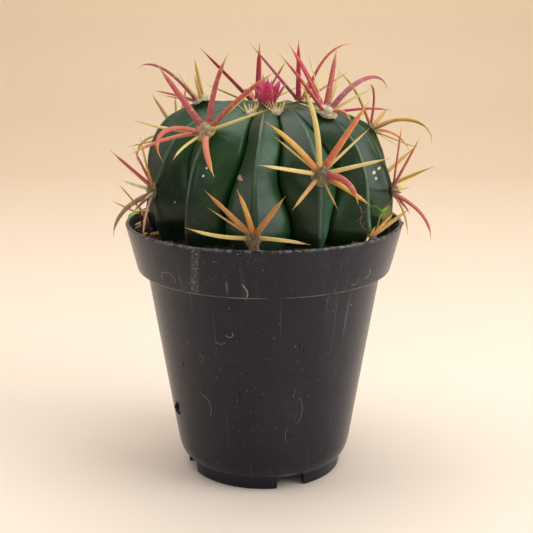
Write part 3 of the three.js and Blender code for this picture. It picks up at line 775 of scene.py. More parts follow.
# spines and wool
tints = {  # base, middle, tip
    "rose": ("a63a45", "b84c4c", "dba046"),
    "crimson": ("b0163a", "c22445", "c8503c"),
    "mauve": ("95384f", "a24658", "b8683f"),
    "rust": ("a23a2e", "b85038", "dca040"),
    "ember": ("bc4a34", "d87a3a", "e2b048"),
    "blush": ("c8705c", "d0684a", "e0b04c"),
    "gold": ("bc6426", "d0a540", "b98430"),
    "straw": ("cbb060", "dcc678", "bd8c3a"),
    "tan": ("9c7536", "b98f48", "a2702c"),
    "amber": ("98602c", "b87a34", "b98238"),
    "bone": ("cdb98a", "e0d0a0", "cdaa66"),
    "umber": ("6b4636", "94694a", "bb8a52"),
    "pinkBone": ("c08a78", "d4a68a", "dcbc86"),
    "blade": ("8c0f3c", "d0185c", "a83a90"),
    "bladeTip": ("b0204c", "c84a70", "e0b890"),
}


# clock: where the spine points on the skin, 0 up the rib; lift off the skin; length and width;
# tint; then how far it bends, towards which clock, and how late along its length
def spine(clock, lift, length, width, tint, bend=0, toward=180, late=1):
    return {"clock": clock, "lift": lift, "length": length, "width": width, "tint": tint,
            "bend": bend, "toward": toward, "late": late}


usualSpines = [
    (-52, 30, 24, 1.5, "gold", 12, -90), (-15, 34, 25, 1.6, "gold", 10, -90),
    (32, 34, 22, 1.5, "ember"), (-84, 20, 20, 1.1, "straw", 8, 0),
    (84, 20, 19, 1.1, "straw", 8, 0), (135, 24, 16, 1.2, "gold", 10, 180),
    (-130, 20, 17, 1.1, "gold", 8, 180), (176, 20, 12, 0.9, "gold"),
    (165, 58, 24, 1.8, "rust", 105, 180, 2),
]

spinesByAreole = {
    0: [
        (-80, 40, 26, 1.6, "rose", 20, 0, 1.5), (-5, 43, 22, 1.9, "crimson", 15, 0),
        (36, 66, 18, 1.6, "rose"), (95, 60, 28, 1.7, "mauve", 110, 95, 1.6),
        (104, 32, 14.5, 1.1, "straw"), (150, 30, 18.5, 1.3, "crimson", 24, 180, 2),
        (177, 57, 9.5, 1.1, "ember", 95, 185, 1.3), (-60, 10, 9, 0.7, "straw"),
        (0, 48, 17, 0.6, "straw"), (55, 48, 14, 0.6, "straw"),
        (80, 40, 9, 0.6, "straw"),
    ],
    2: [
        (-60, 40, 24, 1.7, "rose"), (0, 40, 22, 1.8, "rose", 28, 90, 1.6),
        (40, 24, 26, 1.8, "rust", 24, 110), (72, 11, 21, 1.2, "straw"),
        (36, 12, 17, 0.6, "straw"), (-116, 20, 20, 1.1, "straw", 16, 40),
        (-140, 54, 26, 1.7, "rust", 118, 150, 1.5), (-130, 24, 22, 1.4, "blush", 30, 180),
        (-170, 18, 15, 1.1, "straw", 34, 120, 1.6), (146, 10, 17.5, 1.8, "blush", 32, 142),
    ],
    5: [
        (-48, 32, 24, 1.6, "gold", 16, -90), (-12, 38, 27, 1.6, "straw", 26, -90, 1.8),
        (34, 35, 22.5, 1.7, "ember"), (-56, 20, 18, 0.6, "straw"),
        (52, 20, 18, 0.7, "straw"), (-84, 20, 21, 1.1, "straw"),
        (84, 20, 18.5, 1.1, "straw"), (110, 60, 15, 1.8, "rose", 75, 180, 1.3),
        (130, 27, 15.5, 1.4, "gold", 12, 180), (-130, 20, 15.5, 1.1, "tan"),
        (170, 20, 10.5, 0.7, "tan"),
    ],
    10: [
        (-34, 30, 21, 1.4, "amber"), (-49, 20, 15, 0.6, "tan"),
        (-4, 30, 17.5, 1.4, "gold", 10, -90), (34, 30, 19, 1.5, "amber"),
        (-88, 18, 18, 1.1, "straw", 22, 0), (84, 20, 16, 1.1, "straw", -8, 0),
        (178, 12, 7, 2.3, "tan"), (150, 40, 4, 0.9, "umber"),
    ],
    3: [
        (16, 22, 20, 1.3, "gold", 45, 0, 2.4), (14, 52, 17, 1.3, "rust", 120, -40, 2.6),
        (85, 70, 9, 1.3, "gold"), (120, 72, 26, 1.1, "gold", 145, 235, 1.2),
        (145, 46, 17, 1.2, "ember", 66, 175, 1.3), (171, 18, 11, 0.6, "straw"),
        (-84, 22, 15, 0.9, "straw"), (-150, 24, 15, 0.9, "straw"),
    ],
    8: [
        (-3, 12, 19, 1.0, "rust"), (2, 32, 17, 1.4, "rust"),
        (13, 34, 9, 0.8, "straw"), (175, 58, 19, 1.7, "rose", 62, 180, 1.8),
        (180, 44, 8, 1.1, "rust", 15, 180), (-172, 36, 13, 1.1, "gold", 38, 180),
        (90, 60, 5, 1.0, "straw"), (-84, 20, 12, 0.9, "straw"),
        (84, 20, 15, 0.9, "straw"),
    ],
    7: [
        (-30, 48, 16, 1.5, "rose"), (0, 33, 13, 1.3, "rust"),
        (12, 28, 16, 1.1, "gold", 10, 0), (-82, 40, 10, 1.0, "bone"),
        (-155, 62, 18, 1.7, "umber", 68, 180, 1.6), (160, 26, 14, 1.2, "pinkBone", 38, 180),
        (-142, 22, 9, 1.1, "umber"), (120, 50, 5, 1.3, "bone"),
    ],
    12: [
        (-10, 22, 14, 1.1, "gold"), (5, 44, 12, 1.1, "gold"),
        (80, 58, 8, 1.0, "bone"), (100, 62, 8, 1.0, "bone"),
        (-60, 30, 9, 0.8, "straw"),
    ],
    13: [
        (-25, 24, 5.5, 1.2, "tan"), (30, 14, 9, 1.1, "gold"),
        (46, 16, 13.5, 1.5, "tan"), (-70, 30, 8, 1.0, "straw"),
    ],
    -1: [
        (160, 70, 24, 1.6, "mauve", 95, 215, 2.4), (-60, 75, 12.5, 1.3, "gold"),
        (168, 40, 14, 1.3, "rust", 10, 180), (75, 60, 9, 0.9, "straw"),
        (-120, 50, 13, 0.9, "straw"), (150, 30, 12, 0.8, "ember"),
    ],
    4: [
        (30, 54, 14, 1.2, "tan"), (-4, 36, 12, 1.1, "gold"),
        (150, 64, 20, 1.2, "straw", 110, 180, 1.6), (132, 32, 15, 0.8, "straw"),
        (-84, 24, 16, 1.0, "straw"), (-140, 26, 16, 1.1, "gold"),
        (-40, 34, 20, 1.3, "ember"),
    ],
    1: [
        (0, 52, 19, 1.8, "crimson"), (55, 32, 26, 1.4, "crimson"),
        (-60, 52, 17, 1.3, "rose"), (-84, 24, 17, 1.0, "straw"),
        (84, 24, 17, 1.0, "straw"), (135, 24, 16, 1.2, "gold", 10, 180),
        (-130, 22, 16, 1.1, "gold", 8, 180), (170, 58, 24, 1.7, "rust", 105, 180, 2.2),
    ],
}


hornSpec = {"ringPitch": 0.6, "bandPitch": 3.4, "ringBump": 0.45}


def spineMaterial(name="spineHorn", banding=1.0):
    sheet = Sheet(name)
    place = sheet.place()
    along = sheet.stored("along")
    sheet.colour = sheet.stored("tint", "Color")
    drift = sheet.cloud(place, 0.8, 2.0)
    rings = sheet.wave(along + drift * 0.5, hornSpec["ringPitch"])
    broad = sheet.wave(along + drift * 1.6, hornSpec["bandPitch"])
    fibre = sheet.cloud(place, 2.4, 4.0, 0.6)
    worn = 1 - along.step(9, 19)
    sheet.lay(rings.step(0.1, 1.0) * 0.1 * banding, (0.09, 0.02, 0.01))
    sheet.lay((0 - rings).step(0.2, 1.0) * worn * 0.16 * banding, "e8b9a0")
    bands = broad.step(0.3, 1.0) * drift.step(0.45, 0.6)
    sheet.lay(bands * 0.35 * banding, "d9a05c")
    sheet.lay(fibre.step(0.5, 0.75) * 0.2, "e9d2a0")
    normal = sheet.bump(rings, hornSpec["ringBump"] * banding, 0.00006)
    return sheet.finish(
        0.42 + fibre * 0.12, normal,
        Subsurface_Weight=0.12, Subsurface_Radius=(1.0, 0.45, 0.25), Subsurface_Scale=0.0006)


def woolMaterial():
    sheet = Sheet("areoleWool")
    place = sheet.place()
    sheet.colour = sheet.stored("tint", "Color")
    tuft = sheet.cloud(place, 1.5, 5.0, 0.7)
    sheet.lay(tuft.step(0.5, 0.7) * 0.35, (0.09, 0.055, 0.025))
    normal = sheet.bump(sheet.cloud(place, 4.0, 4.0, 0.7), 0.6, 0.0003)
    return sheet.finish(0.95, normal, Sheen_Weight=0.4)


spineHorn = spineMaterial()
youngHorn = spineMaterial("youngHorn", 0.35)
wool = woolMaterial()


def skinDirection(here, clock):
    c = radians(clock)
    return here["up"] * cos(c) + here["side"] * sin(c)


def spinePath(here, spec):  # points and directions along the middle of a spine
    flat = skinDirection(here, spec["clock"])
    lift = radians(spec["lift"])
    start = flat * cos(lift) + here["normal"] * sin(lift)
    axis = start.cross(skinDirection(here, spec["toward"])).normalized()
    steps = max(14, int(spec["length"] * 1.7))
    point = here["centre"] + here["normal"] * 0.5 + flat * 1.1
    path = []
    for k in range(steps + 1):
        turn = radians(spec["bend"]) * ((k + 0.5) / steps) ** spec["late"]
        direction = Matrix.Rotation(turn, 3, axis) @ start
        if k:
            point = point + direction * spec["length"] / steps
        path.append((point, direction))
    return start, path


def lipRadius(z):  # outside of the lip at this height
    slope = (potSpec["rimRadius"] - potSpec["lipBottomRadius"]) / (potSpec["height"] - potSpec["lipBottom"])
    return potSpec["lipBottomRadius"] + (z - potSpec["lipBottom"]) * slope


def meetsPot(point, spare):
    outside = lipRadius(point.z)
    inside = outside - potSpec["wall"]
    return point.z < potSpec["height"] + spare and inside - spare < point.xy.length < outside + spare


def clearOfPot(here, spec, spare=0.9):  # lifts a spine over the rim, and shortens it if that isn't enough
    while any(meetsPot(point, spare) for point, _ in spinePath(here, spec)[1]):
        if spec["lift"] < 66:
            spec = {**spec, "lift": spec["lift"] + 4}
        else:
            spec = {**spec, "length": spec["length"] * 0.9}
    return spec


spineForm = {
    "sides": 10, "bands": 12, "girth": 1.22, "top": 0.62, "under": 0.5, "waver": 0.035, "waverPitch": 1.1}


def addSpine(shape, here, spec, rng):
    flat = skinDirection(here, spec["clock"])
    start, path = spinePath(here, spec)
    steps = len(path) - 1
    sides, bandCount = spineForm["sides"], spineForm["bands"]
    base, middle, tip = (linear(c) for c in tints[spec["tint"]])
    sideways = here["normal"].cross(start).normalized()
    bands = [rng.random() for _ in range(bandCount)]
    rings = []
    for k, (point, direction) in enumerate(path):
        t = k / steps
        across = (sideways - direction * sideways.dot(direction)).normalized()
        up = direction.cross(across)
        swell = 1 + 0.2 * exp(-(t / 0.05) ** 2)
        taper = (1 - 0.5 * t ** 1.4) * (1 - smoothStep(t, 0.72, 1.0) * 0.86)
        width = spineForm["girth"] * spec["width"] * taper * swell
        width *= 1 + spineForm["waver"] * sin(t * spec["length"] * 2 * pi / spineForm["waverPitch"])
        colour = blendColour(base, middle, smoothStep(t, 0.0, 0.45))
        colour = blendColour(colour, tip, smoothStep(t, 0.72, 0.97))
        band = bands[min(int(t * bandCount), bandCount - 1)] * (1 - t)
        colour = blendColour(colour, base, band * 0.5)
        ring = []
        for j in range(sides):
            angle = 2 * pi * j / sides
            thick = spineForm["top"] if sin(angle) > 0 else spineForm["under"]
            offset = (across * cos(angle) + up * sin(angle) * thick) * width / 2
            ring.append(shape.add(point + offset, tint=colour, along=t * spec["length"]))
        rings.append(ring)
    shape.joinRings(rings)
    shape.capRing(rings[0], shape.add(here["centre"] + flat, tint=base, along=0.0))
    end = shape.add(point + direction * spec["width"] * 0.3, tint=tip, along=spec["length"])
    shape.capRing(rings[-1], end, flip=True)


woolForm = {"rows": 14, "sides": 34, "wide": 0.42, "high": 0.5, "thick": 0.27, "lift": 0.3, "hair": 0.075}
threeWays = (0, 2.094, 4.189)


def skinOffset(here, angle, wide, high):
    return here["side"] * cos(angle) * wide + here["up"] * sin(angle) * high


def addWool(shape, here, size, colour, rng, hairs):
    form = woolForm
    rows, sides = form["rows"], form["sides"]
    rings = []
    for row in range(rows):
        a = radians(90 - 100 * (row + 1) / rows)
        ring = []
        for k in range(sides):
            direction = skinOffset(here, 2 * pi * k / sides, form["wide"], form["high"]) * cos(a)
            rise = sin(a) * size * form["thick"] + form["lift"]
            point = here["centre"] + direction * size + here["normal"] * rise
            knob = noise.noise(point * 1.1) * 0.55 + noise.noise(point * 2.7) * 0.4
            point += (here["normal"] + direction * 0.6) * knob
            # painted shade: the sunken parts between the knobs are darkened
            shade = blendColour(colour, (0.05, 0.03, 0.015), clamp(0.25 - knob * 1.1, 0, 0.8))
            ring.append(shape.add(point, tint=shade))
        rings.append(ring)
    top = shape.add(here["centre"] + here["normal"] * (size * form["thick"] + form["lift"]), tint=colour)
    shape.capRing(rings[0], top)
    shape.joinRings(rings, flip=True)
    for _ in range(hairs):
        b = rng.random() * 2 * pi
        out = sqrt(rng.random())
        foot = here["centre"] + skinOffset(here, b, 0.4, 0.48) * size * out
        foot += here["normal"] * (size * 0.24 * sqrt(max(1 - out * out, 0)) + 0.25)
        lean = here["side"] * cos(b + rng.uniform(-1, 1))
        lean += here["up"] * sin(b + rng.uniform(-1, 1))
        direction = (lean * (0.3 + out) + here["normal"] * rng.uniform(0.3, 1.1)).normalized()
        length = rng.uniform(0.5, 1.3)
        bow = here["normal"] * rng.uniform(-0.25, 0.35)
        across = direction.orthogonal().normalized()
        other = direction.cross(across)
        tone = blendColour(colour, (0.9, 0.85, 0.7), rng.random() * 0.25)
        rings = []
        for t in (0, 1 / 3, 2 / 3):
            centre = foot + direction * length * t + bow * t * t
            thick = form["hair"] * (1 - t * 0.6)
            rings.append([shape.add(centre + (across * cos(q) + other * sin(q)) * thick, tint=tone)
                          for q in threeWays])
        shape.joinRings(rings)
        shape.capRing(rings[-1], shape.add(foot + direction * length + bow, tint=tone), flip=True)


jitter = {"turn": 9, "lift": 5, "shortest": 0.88, "longest": 1.1}


def jittered(rows, rng):
    made = []
    for clock, lift, length, *rest in rows:
        turned = clock + rng.uniform(-jitter["turn"], jitter["turn"])
        lifted = lift + rng.uniform(-jitter["lift"], jitter["lift"])
        made.append(spine(turned, lifted, length * rng.uniform(jitter["shortest"], jitter["longest"]), *rest))
    return made


woolColours = {"young": "f0e2bd", "middle": "c4a976", "old": "96805a"}
woolSize = {2: 7.2, 5: 6.8, 0: 6.8, 3: 3.8, 8: 3.8, 7: 4.8, 10: 5.0, 12: 4.4, 13: 3.6, -1: 5.0}


def buildClusters():
    for areole in areoles:
        n = areole["n"]
        if n < -1:
            continue
        rng = random.Random(100 + n)
        here = areoleFrame(areole)
        if n in spinesByAreole:
            specs = [spine(*row) for row in spinesByAreole[n]]
        else:
            specs = [clearOfPot(here, spec) for spec in jittered(usualSpines, rng)]
        if n == 12:
            specs = [clearOfPot(here, spec, 0.5) for spec in specs]
        shape = Shape()
        for spec in specs:
            addSpine(shape, here, spec, rng)
        label = f"{n + 4:02d}"
        shape.piece(f"spines{label}", spineHorn, slot="spine", replaced=f"spine_cluster_{label}")
        felt = Shape()
        age = "young" if n < 2 else "middle" if n < 5 else "old"
        addWool(felt, here, woolSize.get(n, 6.0), linear(woolColours[age]), rng, 320)
        felt.piece(f"wool{label}", wool, slot="spine", replaced=f"spine_cluster_{label}")


buildClusters()
print("spine clusters are built")

youngBlades = [
    (178, 80, 7.6, 3.2, "blade"),
    (-70, 74, 7.8, 2.4, "blade"),
    (75, 72, 8.0, 2.4, "blade"),
    (20, 84, 7.0, 2.2, "blade"),
    (100, 56, 8.4, 1.4, "bladeTip"),
    (-92, 58, 8.0, 1.4, "bladeTip"),
    (150, 66, 5.0, 1.1, "bladeTip"),
    (-130, 62, 5.0, 1.0, "bladeTip"),
]

crownFan = [
    (39, 45, 22, 1.6, "mauve"),
    (4, 84, 18, 1.9, "crimson"),
    (-150, 74, 25, 1.5, "rust", 72, -160, 2.4),
    (-136, 38, 16, 1.1, "gold"),
    (120, 40, 14, 0.9, "straw"),
    (-60, 40, 12, 0.7, "straw"),
    (175, 40, 16, 1.1, "straw"),
]


def buildCrown():
    for areole in areoles:
        n = areole["n"]
        if n not in (-2, -3, -4):
            continue
        rng = random.Random(200 + n)
        here = areoleFrame(areole)
        if n == -4:
            specs = jittered(youngBlades[:3], rng)
        else:
            specs = [spine(*row) for row in (crownFan if n == -2 else youngBlades)]
        shape = Shape()
        for spec in specs:
            addSpine(shape, here, spec, rng)
        shape.piece(f"crownBlades{n + 5}", youngHorn, slot="young_spine", replaced=f"crown_tuft_{n + 5}")
        felt = Shape()
        addWool(felt, here, 3.6, linear(woolColours["young"]), rng, 200)
        felt.piece(f"crownWool{n + 5}", wool, slot="young_spine", replaced=f"crown_tuft_{n + 5}")


def buildBuds():  # two woolly buds with pale bristles, just in front of the blades
    rng = random.Random(77)
    for k, centre in enumerate(((-3.8, -13.4, 112.6), (3.7, -13.8, 112.8))):
        here = {**areoleFrame({"n": -4, "rib": 0, "s": 15}), "centre": Vector(centre)}
        felt = Shape()
        addWool(felt, here, 3.0, linear(woolColours["young"]), rng, 160)
        felt.piece(f"budWool{k + 1}", wool, slot="young_spine", replaced="crown_tuft_1")
        bristles = Shape()
        for step in range(11):
            clock = -85 + 17 * step + rng.uniform(-6, 6)
            spec = spine(clock, rng.uniform(32, 70), rng.uniform(2.4, 4.6), 0.28, "straw")
            addSpine(bristles, here, spec, rng)
        bristles.piece(f"budBristles{k + 1}", youngHorn, slot="young_spine", replaced="crown_tuft_1")


buildCrown()
buildBuds()
print("crown is built")

# soil
soilSpec = {
    "level": 75.0,
    "heap": 1.8,
    "crumbs": 900,
    "crumbsFrom": 27,  # crumbs lie between these two circles and outside the stem
    "crumbsTo": 39.6,
    "stemReach": 28,
    "fibres": 110,
    "fibresTo": 39.2,
    "sides": 160,
}


def soilHeight(x, y):
    r = hypot(x, y)
    front = max(-y / r, 0) if r > 1 else 0
    base = soilSpec["level"] + soilSpec["heap"] * front
    broad, fine = Vector((x * 0.16, y * 0.16, 0)), Vector((x * 0.5, y * 0.5, 3))
    return base + 0.9 * noise.noise(broad) + 0.5 * noise.noise(fine)


def soilMaterial():
    sheet = Sheet("peatMix")
    place = sheet.place()
    grit = sheet.cloud(place, 1.1, 6.0, 0.7)
    sheet.colour = sheet.mix(grit.step(0.35, 0.7), "15100d", "3a2b21")
    sheet.lay(sheet.cellValue(place, 0.8).step(0.86, 0.95) * 0.5, "5e4430")
    normal = sheet.bump(grit, 0.8, 0.0006)
    return sheet.finish(0.95, normal)


def crumbMaterial():
    sheet = Sheet("peatCrumb")
    place = sheet.place()
    sheet.colour = sheet.stored("tint", "Color")
    grit = sheet.cloud(place, 2.2, 5.0, 0.7)
    sheet.lay(grit.step(0.4, 0.7) * 0.5, (0.006, 0.004, 0.003))
    return sheet.finish(0.9, sheet.bump(grit, 0.6, 0.0003))


def addGrain(shape, centre, size, turn, rng, colour, roughness=0.35, rings=4, sides=7):
    rows = []
    basis = turn.to_matrix()
    seedPlace = Vector((rng.random() * 90, rng.random() * 90, rng.random() * 90))

    def surface(a, b):
        d = Vector((cos(a) * cos(b), cos(a) * sin(b), sin(a)))
        swell = 1 + roughness * noise.noise(d * 1.7 + seedPlace) * 1.6
        return centre + basis @ Vector((d.x * size[0], d.y * size[1], d.z * size[2])) * 0.5 * swell

    for row in range(1, rings + 1):
        a = pi * (row / (rings + 1) - 0.5)
        rows.append([shape.add(surface(a, 2 * pi * k / sides), tint=colour) for k in range(sides)])
    shape.joinRings(rows)
    shape.capRing(rows[0], shape.add(surface(-pi / 2, 0), tint=colour))
    shape.capRing(rows[-1], shape.add(surface(pi / 2, 0), tint=colour), flip=True)


def buildSoil():
    shape = Shape()
    sides = soilSpec["sides"]
    levels = [(20.6, 5.3), (24.6, 7.0), (25.95, 9.2), (34.75, 65.9), (37.6, 67.0), (39.4, 73.0)]
    rings = []
    for r, z in levels:
        rings.append([shape.add(polar(360 * k / sides, r, z)) for k in range(sides)])
    for r in [39.7 - 0.55 * k for k in range(30)] + [20.0, 12.0, 5.0]:
        ring = []
        for k in range(sides):
            p = polar(360 * k / sides, r)
            ring.append(shape.add((p.x, p.y, soilHeight(p.x, p.y))))
        rings.append(ring)
    shape.joinRings(rings)
    shape.capRing(rings[0], shape.add((0, 0, 5.3)))
    shape.capRing(rings[-1], shape.add((0, 0, soilSpec["level"])), flip=True)
    shape.piece("soilPlug", soilMaterial(), slot="peat", replaced="soil")

    rng = random.Random(31)
    crumbs = Shape()
    palette = [linear(c) for c in ("1d1512", "2a1e17", "4a3322", "15100e", "7a5230")]
    made = 0
    while made < soilSpec["crumbs"]:
        azimuth = rng.uniform(0, 360)
        r = sqrt(rng.uniform(soilSpec["crumbsFrom"] ** 2, soilSpec["crumbsTo"] ** 2))
        p = polar(azimuth, r)
        if hypot(p.x - stem["axis"][0], p.y) < soilSpec["stemReach"]:
            continue
        size = rng.uniform(0.5, 1.7) * (1.4 if rng.random() < 0.12 else 1)
        spanned = (size, size * rng.uniform(0.5, 0.9), size * rng.uniform(0.4, 0.8))
        if r + size * 0.6 > lipRadius(76) - potSpec["wall"] - 0.2:
            continue
        turn = Vector((rng.uniform(-1, 1), rng.uniform(-1, 1), rng.uniform(-1, 1))).to_track_quat("Z", "Y")
        centre = Vector((p.x, p.y, soilHeight(p.x, p.y) + size * 0.15))
        addGrain(crumbs, centre, spanned, turn, rng, palette[rng.randrange(len(palette))], 0.4, 3, 6)
        made += 1
    for _ in range(soilSpec["fibres"]):
        azimuth, r = rng.uniform(0, 360), rng.uniform(30, 38.5)
        p = polar(azimuth, r)
        p.z = soilHeight(p.x, p.y) + 0.3
        heading = rng.uniform(0, 2 * pi)
        length = rng.uniform(1.5, 5)
        tone = blendColour(linear("2f2018"), linear("7a5a3a"), rng.random())
        rings = []
        for k in range(6):
            thick = rng.uniform(0.06, 0.11)
            side, up = Vector((sin(heading), cos(heading), 0)), Vector((0, 0, 1))
            rings.append([crumbs.add(p + (side * cos(q) + up * sin(q)) * thick, tint=tone)
                          for q in threeWays])
            heading += rng.uniform(-0.5, 0.5)
            p = p + Vector((cos(heading), -sin(heading), rng.uniform(-0.15, 0.25))) * length / 5
            if hypot(p.x, p.y) > soilSpec["fibresTo"]:
                p.x, p.y = p.x * 0.97, p.y * 0.97
        crumbs.joinRings(rings)
    crumbs.piece("soilCrumbs", crumbMaterial(), slot="peat", replaced="soil")


buildSoil()
print("soil is built")

# loose bits, seedlings and rootlet
bits = {  # place on the soil, size along x, y, z, turn, colours
    "bark_chip_1": (-32, -9.8, 5.2, 3.2, 1.6, 25, "6a4526", "b07a45"),
    "bark_chip_2": (-27.6, -25.6, 4.2, 2.6, 1.4, -35, "2c1f18", "5a4030"),
    "bark_chip_3": (26, -29, 4.2, 2.6, 1.5, 40, "33241b", "5e4430"),
    "bark_chip_4": (33.6, 20, 4.2, 2.4, 1.5, -50, "33241b", "6a4a34"),
    "bark_chip_5": (-22, 32, 4.8, 2.6, 1.6, 15, "2c1f18", "5a4030"),
    "straw_bit_1": (-35.8, -8.2, 2.6, 1.4, 1.1, 70, "a87a2c", "d8b45a"),
    "straw_bit_2": (-36.3, -12.5, 2.4, 1.4, 1.2, 10, "a87a2c", "dab860"),
    "straw_bit_3": (-32.6, -18.6, 2.6, 1.5, 1.2, -20, "98702a", "cca54e"),
    "perlite_1": (-12.4, -36.4, 2.2, 1.8, 1.7, 0, "d8d4cc", "f4f1ea"),
    "perlite_2": (21, -32.2, 1.9, 1.6, 1.4, 30, "d8d4cc", "f4f1ea"),
    "perlite_3": (12, 38, 2.2, 1.9, 1.6, 60, "d8d4cc", "f4f1ea"),
}


def bitMaterial(name, dark, light, roughness, scale):
    sheet = Sheet(name)
    place = sheet.place()
    grain = sheet.cloud(sheet.stretched(place, 1, 2.6, 1), scale, 5.0, 0.65)
    sheet.colour = sheet.mix(grain.step(0.35, 0.7), dark, light)
    return sheet.finish(roughness, sheet.bump(grain, 0.7, 0.0004))


def buildBits():
    rng = random.Random(57)
    for name, (x, y, sx, sy, sz, turn, dark, light) in bits.items():
        kind = name.rsplit("_", 1)[0]
        slot = {"bark_chip": "bark", "straw_bit": "straw", "perlite": "perlite"}[kind]
        centre = Vector((x, y, soilHeight(x, y) + sz * 0.45))
        shape = Shape()
        spin = Matrix.Rotation(radians(turn), 3, "Z").to_quaternion()
        rough = {"bark": 0.3, "straw": 0.3, "perlite": 0.22}[slot]
        addGrain(shape, centre, (sx, sy, sz), spin, rng, linear(light), rough, 12, 20)
        if slot == "bark":  # chips curl and carry long ridges
            across = spin.to_matrix() @ Vector((0, 1, 0))
            for point in shape.points:
                side = (point - centre).dot(across)
                point.z += 0.16 * side * side + 0.16 * sin(side * 7 + x)
        material = bitMaterial(slot + name[-1], dark, light, 0.85, 0.9 if slot != "perlite" else 1.8)
        shape.values = {}
        shape.piece(kind.replace("_", "") + name[-1], material, slot=slot, replaced=name)


buildBits()


def leafMaterial(name, dark, light, vein):
    sheet = Sheet(name)
    place = sheet.place()
    tone = sheet.cloud(place, 0.7, 3.0)
    sheet.colour = sheet.mix(tone.step(0.3, 0.7), dark, light)
    sheet.lay((1 - sheet.stored("rib").step(0.0, 0.16)) * 0.45, vein)
    return sheet.finish(
        0.42, sheet.bump(tone, 0.2, 0.0003),
        Subsurface_Weight=0.25, Subsurface_Radius=(0.5, 1.0, 0.2), Subsurface_Scale=0.0008)


def addLeaf(shape, root, length, width, azimuth, tilt):
    turn = Matrix.Rotation(radians(azimuth), 3, "Z") @ Matrix.Rotation(radians(tilt), 3, "X")
    rows, half = 14, 6
    for face in (1, -1):
        grid = []
        for row in range(rows + 1):
            t = row / rows
            wide = width / 2 * sin(pi * clamp(t * 0.94 + 0.05)) ** 0.65
            line = []
            for k in range(-half, half + 1):
                q = k / half
                thick = 0.16 * (1 - q * q) * sin(pi * clamp(t, 0.02, 0.98))
                height = 0.2 * q * q * wide + face * thick - 0.35 * t * t  # cupped across, drooping along
                line.append(shape.add(root + turn @ Vector((q * wide, -length * t, height)), rib=abs(q)))
            grid.append(line)
        for low, high in zip(grid, grid[1:]):
            for k in range(2 * half):
                quad = (low[k], low[k + 1], high[k + 1], high[k])
                shape.faces.append(quad if face < 0 else quad[::-1])


def addStalk(shape, points, radii, sides=10):
    rings = []
    for k, point in enumerate(points):
        direction = (points[min(k + 1, len(points) - 1)] - points[max(k - 1, 0)]).normalized()
        across = direction.cross(Vector((0.13, 0.97, 0.21))).normalized()
        other = direction.cross(across)
        turns = [2 * pi * j / sides for j in range(sides)]
        rings.append([
            shape.add(point + (across * cos(a) + other * sin(a)) * radii[k]) for a in turns])
    shape.joinRings(rings)
    shape.capRing(rings[0], shape.add(points[0]))
    shape.capRing(rings[-1], shape.add(points[-1]), flip=True)


def curvePoints(anchors, steps):
    made = []
    anchors = [Vector(a) for a in anchors]
    padded = [anchors[0] * 2 - anchors[1], *anchors, anchors[-1] * 2 - anchors[-2]]
    for a, b, c, d in zip(padded, padded[1:], padded[2:], padded[3:]):
        for k in range(steps):
            t = k / steps
            curved, twisted = 2 * a - 5 * b + 4 * c - d, 3 * b - a - 3 * c + d
            made.append(0.5 * (2 * b + (c - a) * t + curved * t * t + twisted * t ** 3))
    made.append(anchors[-1])
    return made


def stalkMaterial(name, dark, light):
    sheet = Sheet(name)
    tone = sheet.cloud(sheet.place(), 1.2, 3.0)
    sheet.colour = sheet.mix(tone.step(0.3, 0.7), dark, light)
    return sheet.finish(0.5, sheet.bump(tone, 0.2, 0.0002))


rootlet = {
    "line": [(26.9, -28.3, 88.7), (27.6, -28.5, 86.4), (27.1, -28.7, 84.6),
             (28, -28.7, 82.7), (30.2, -27.9, 81.3)],
    # side threads: the point on the line they leave from, and their tip
    "threads": [(5, (29.0, -28.6, 87.2)), (10, (25.8, -28.6, 84.2)), (17, (28.6, -28.6, 84.6))],
}


def buildRootlet():
    shape = Shape()
    line = curvePoints(rootlet["line"], 6)
    count = len(line)
    addStalk(shape, line, [0.26 - 0.12 * k / count + 0.05 * sin(k * 1.9) for k in range(count)], 8)
    for start, tip in rootlet["threads"]:
        root = line[start]
        side = curvePoints([root, (root + Vector(tip)) / 2 + Vector((0, -0.1, 0.2)), tip], 4)
        addStalk(shape, side, [0.13 - 0.08 * k / len(side) for k in range(len(side))], 6)
    bark = bitMaterial("rootThread", "3a2418", "8a6440", 0.9, 1.4)
    shape.piece("dryRootlet", bark, slot="root", replaced="dry_rootlet")


clingers = {  # azimuth, radius, height and size of each crumb on the wall
    "crumbs": [(-66, 29.6, 21.9, 1.9), (-65, 29.8, 23.2, 1.1),
               (-67, 29.3, 20.6, 1.2), (-64.5, 29.4, 20.2, 0.8)],
    "burr": (84, 42.3, 78.6),
}


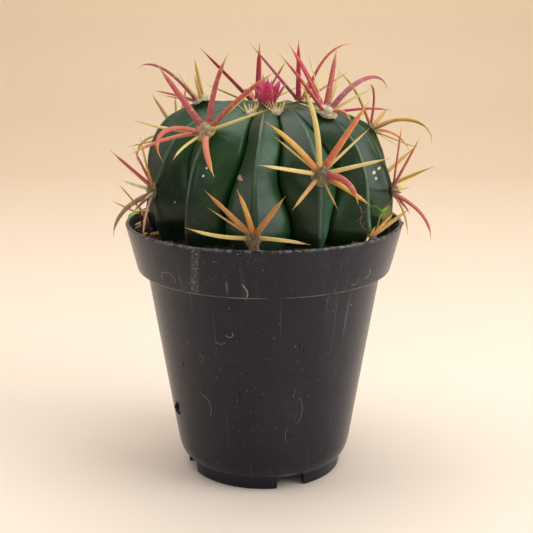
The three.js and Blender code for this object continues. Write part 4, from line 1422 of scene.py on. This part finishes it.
def buildClingers():
    rng = random.Random(91)
    crumb = Shape()
    for azimuth, radius, z, size in clingers["crumbs"]:
        turn = Matrix.Rotation(radians(azimuth), 3, "Z").to_quaternion()
        spanned = (size, size * 0.8, size * 0.9)
        addGrain(crumb, polar(azimuth, radius, z), spanned, turn, rng, linear("0c0a09"), 0.6, 6, 10)
    crumb.piece("clingingSoil", crumbMaterial(), slot="peat")
    burr = Shape()
    turn = Matrix.Rotation(0.5, 3, "Z").to_quaternion()
    addGrain(burr, polar(*clingers["burr"]), (1.3, 1.0, 1.1), turn, rng, linear("3a383c"), 0.5, 8, 12)
    burr.piece("rimBurr", crumbMaterial(), slot="pot")


buildRootlet()
buildClingers()

seedlings = {
    "seedling_left": {
        "stalk": [(-36.6, -2.6, 76), (-37.4, -3, 79), (-37.9, -3.3, 82.3)],
        "leaves": [(4.4, 2.6, -50, 15), (4.0, 2.4, 60, -10)],
        "stalkColours": ("8c2f28", "b8483a"),
        "leafColours": ("5c7c30", "94b652", "b6cc76"),
    },
    "seedling_right": {
        "stalk": [(32.4, -16.8, 77), (33.2, -17, 80.5), (34, -17, 84)],
        "leaves": [(3.9, 3.5, -60, -56), (3.6, 3.2, 62, -52)],
        "stalkColours": ("7c8a4a", "a3b060"),
        "leafColours": ("5c9a34", "8fd052", "b2e07a"),
    },
}


def buildSeedlings():
    for name, spec in seedlings.items():
        stalk = Shape()
        line = curvePoints(spec["stalk"], 6)
        addStalk(stalk, line, [0.38 - 0.1 * k / len(line) for k in range(len(line))])
        side = name.split("_")[1].capitalize()
        green = stalkMaterial(f"seedlingStalk{side}", *spec["stalkColours"])
        stalk.piece(f"seedlingStalk{side}", green, slot="seedling", replaced=name)
        leaves = Shape()
        for length, width, azimuth, tilt in spec["leaves"]:
            addLeaf(leaves, line[-1], length, width, azimuth, tilt)
        green = leafMaterial(f"seedlingLeaf{side}", *spec["leafColours"])
        leaves.piece(f"seedlingLeaves{side}", green, slot="seedling", replaced=name)


buildSeedlings()

root = bpy.data.objects["root"]
root.data.materials.clear()
root.data.materials.append(bitMaterial("rootBark", "6a4c30", "b08a5c", 0.85, 0.4))
print("soil bits, seedlings and root are done")
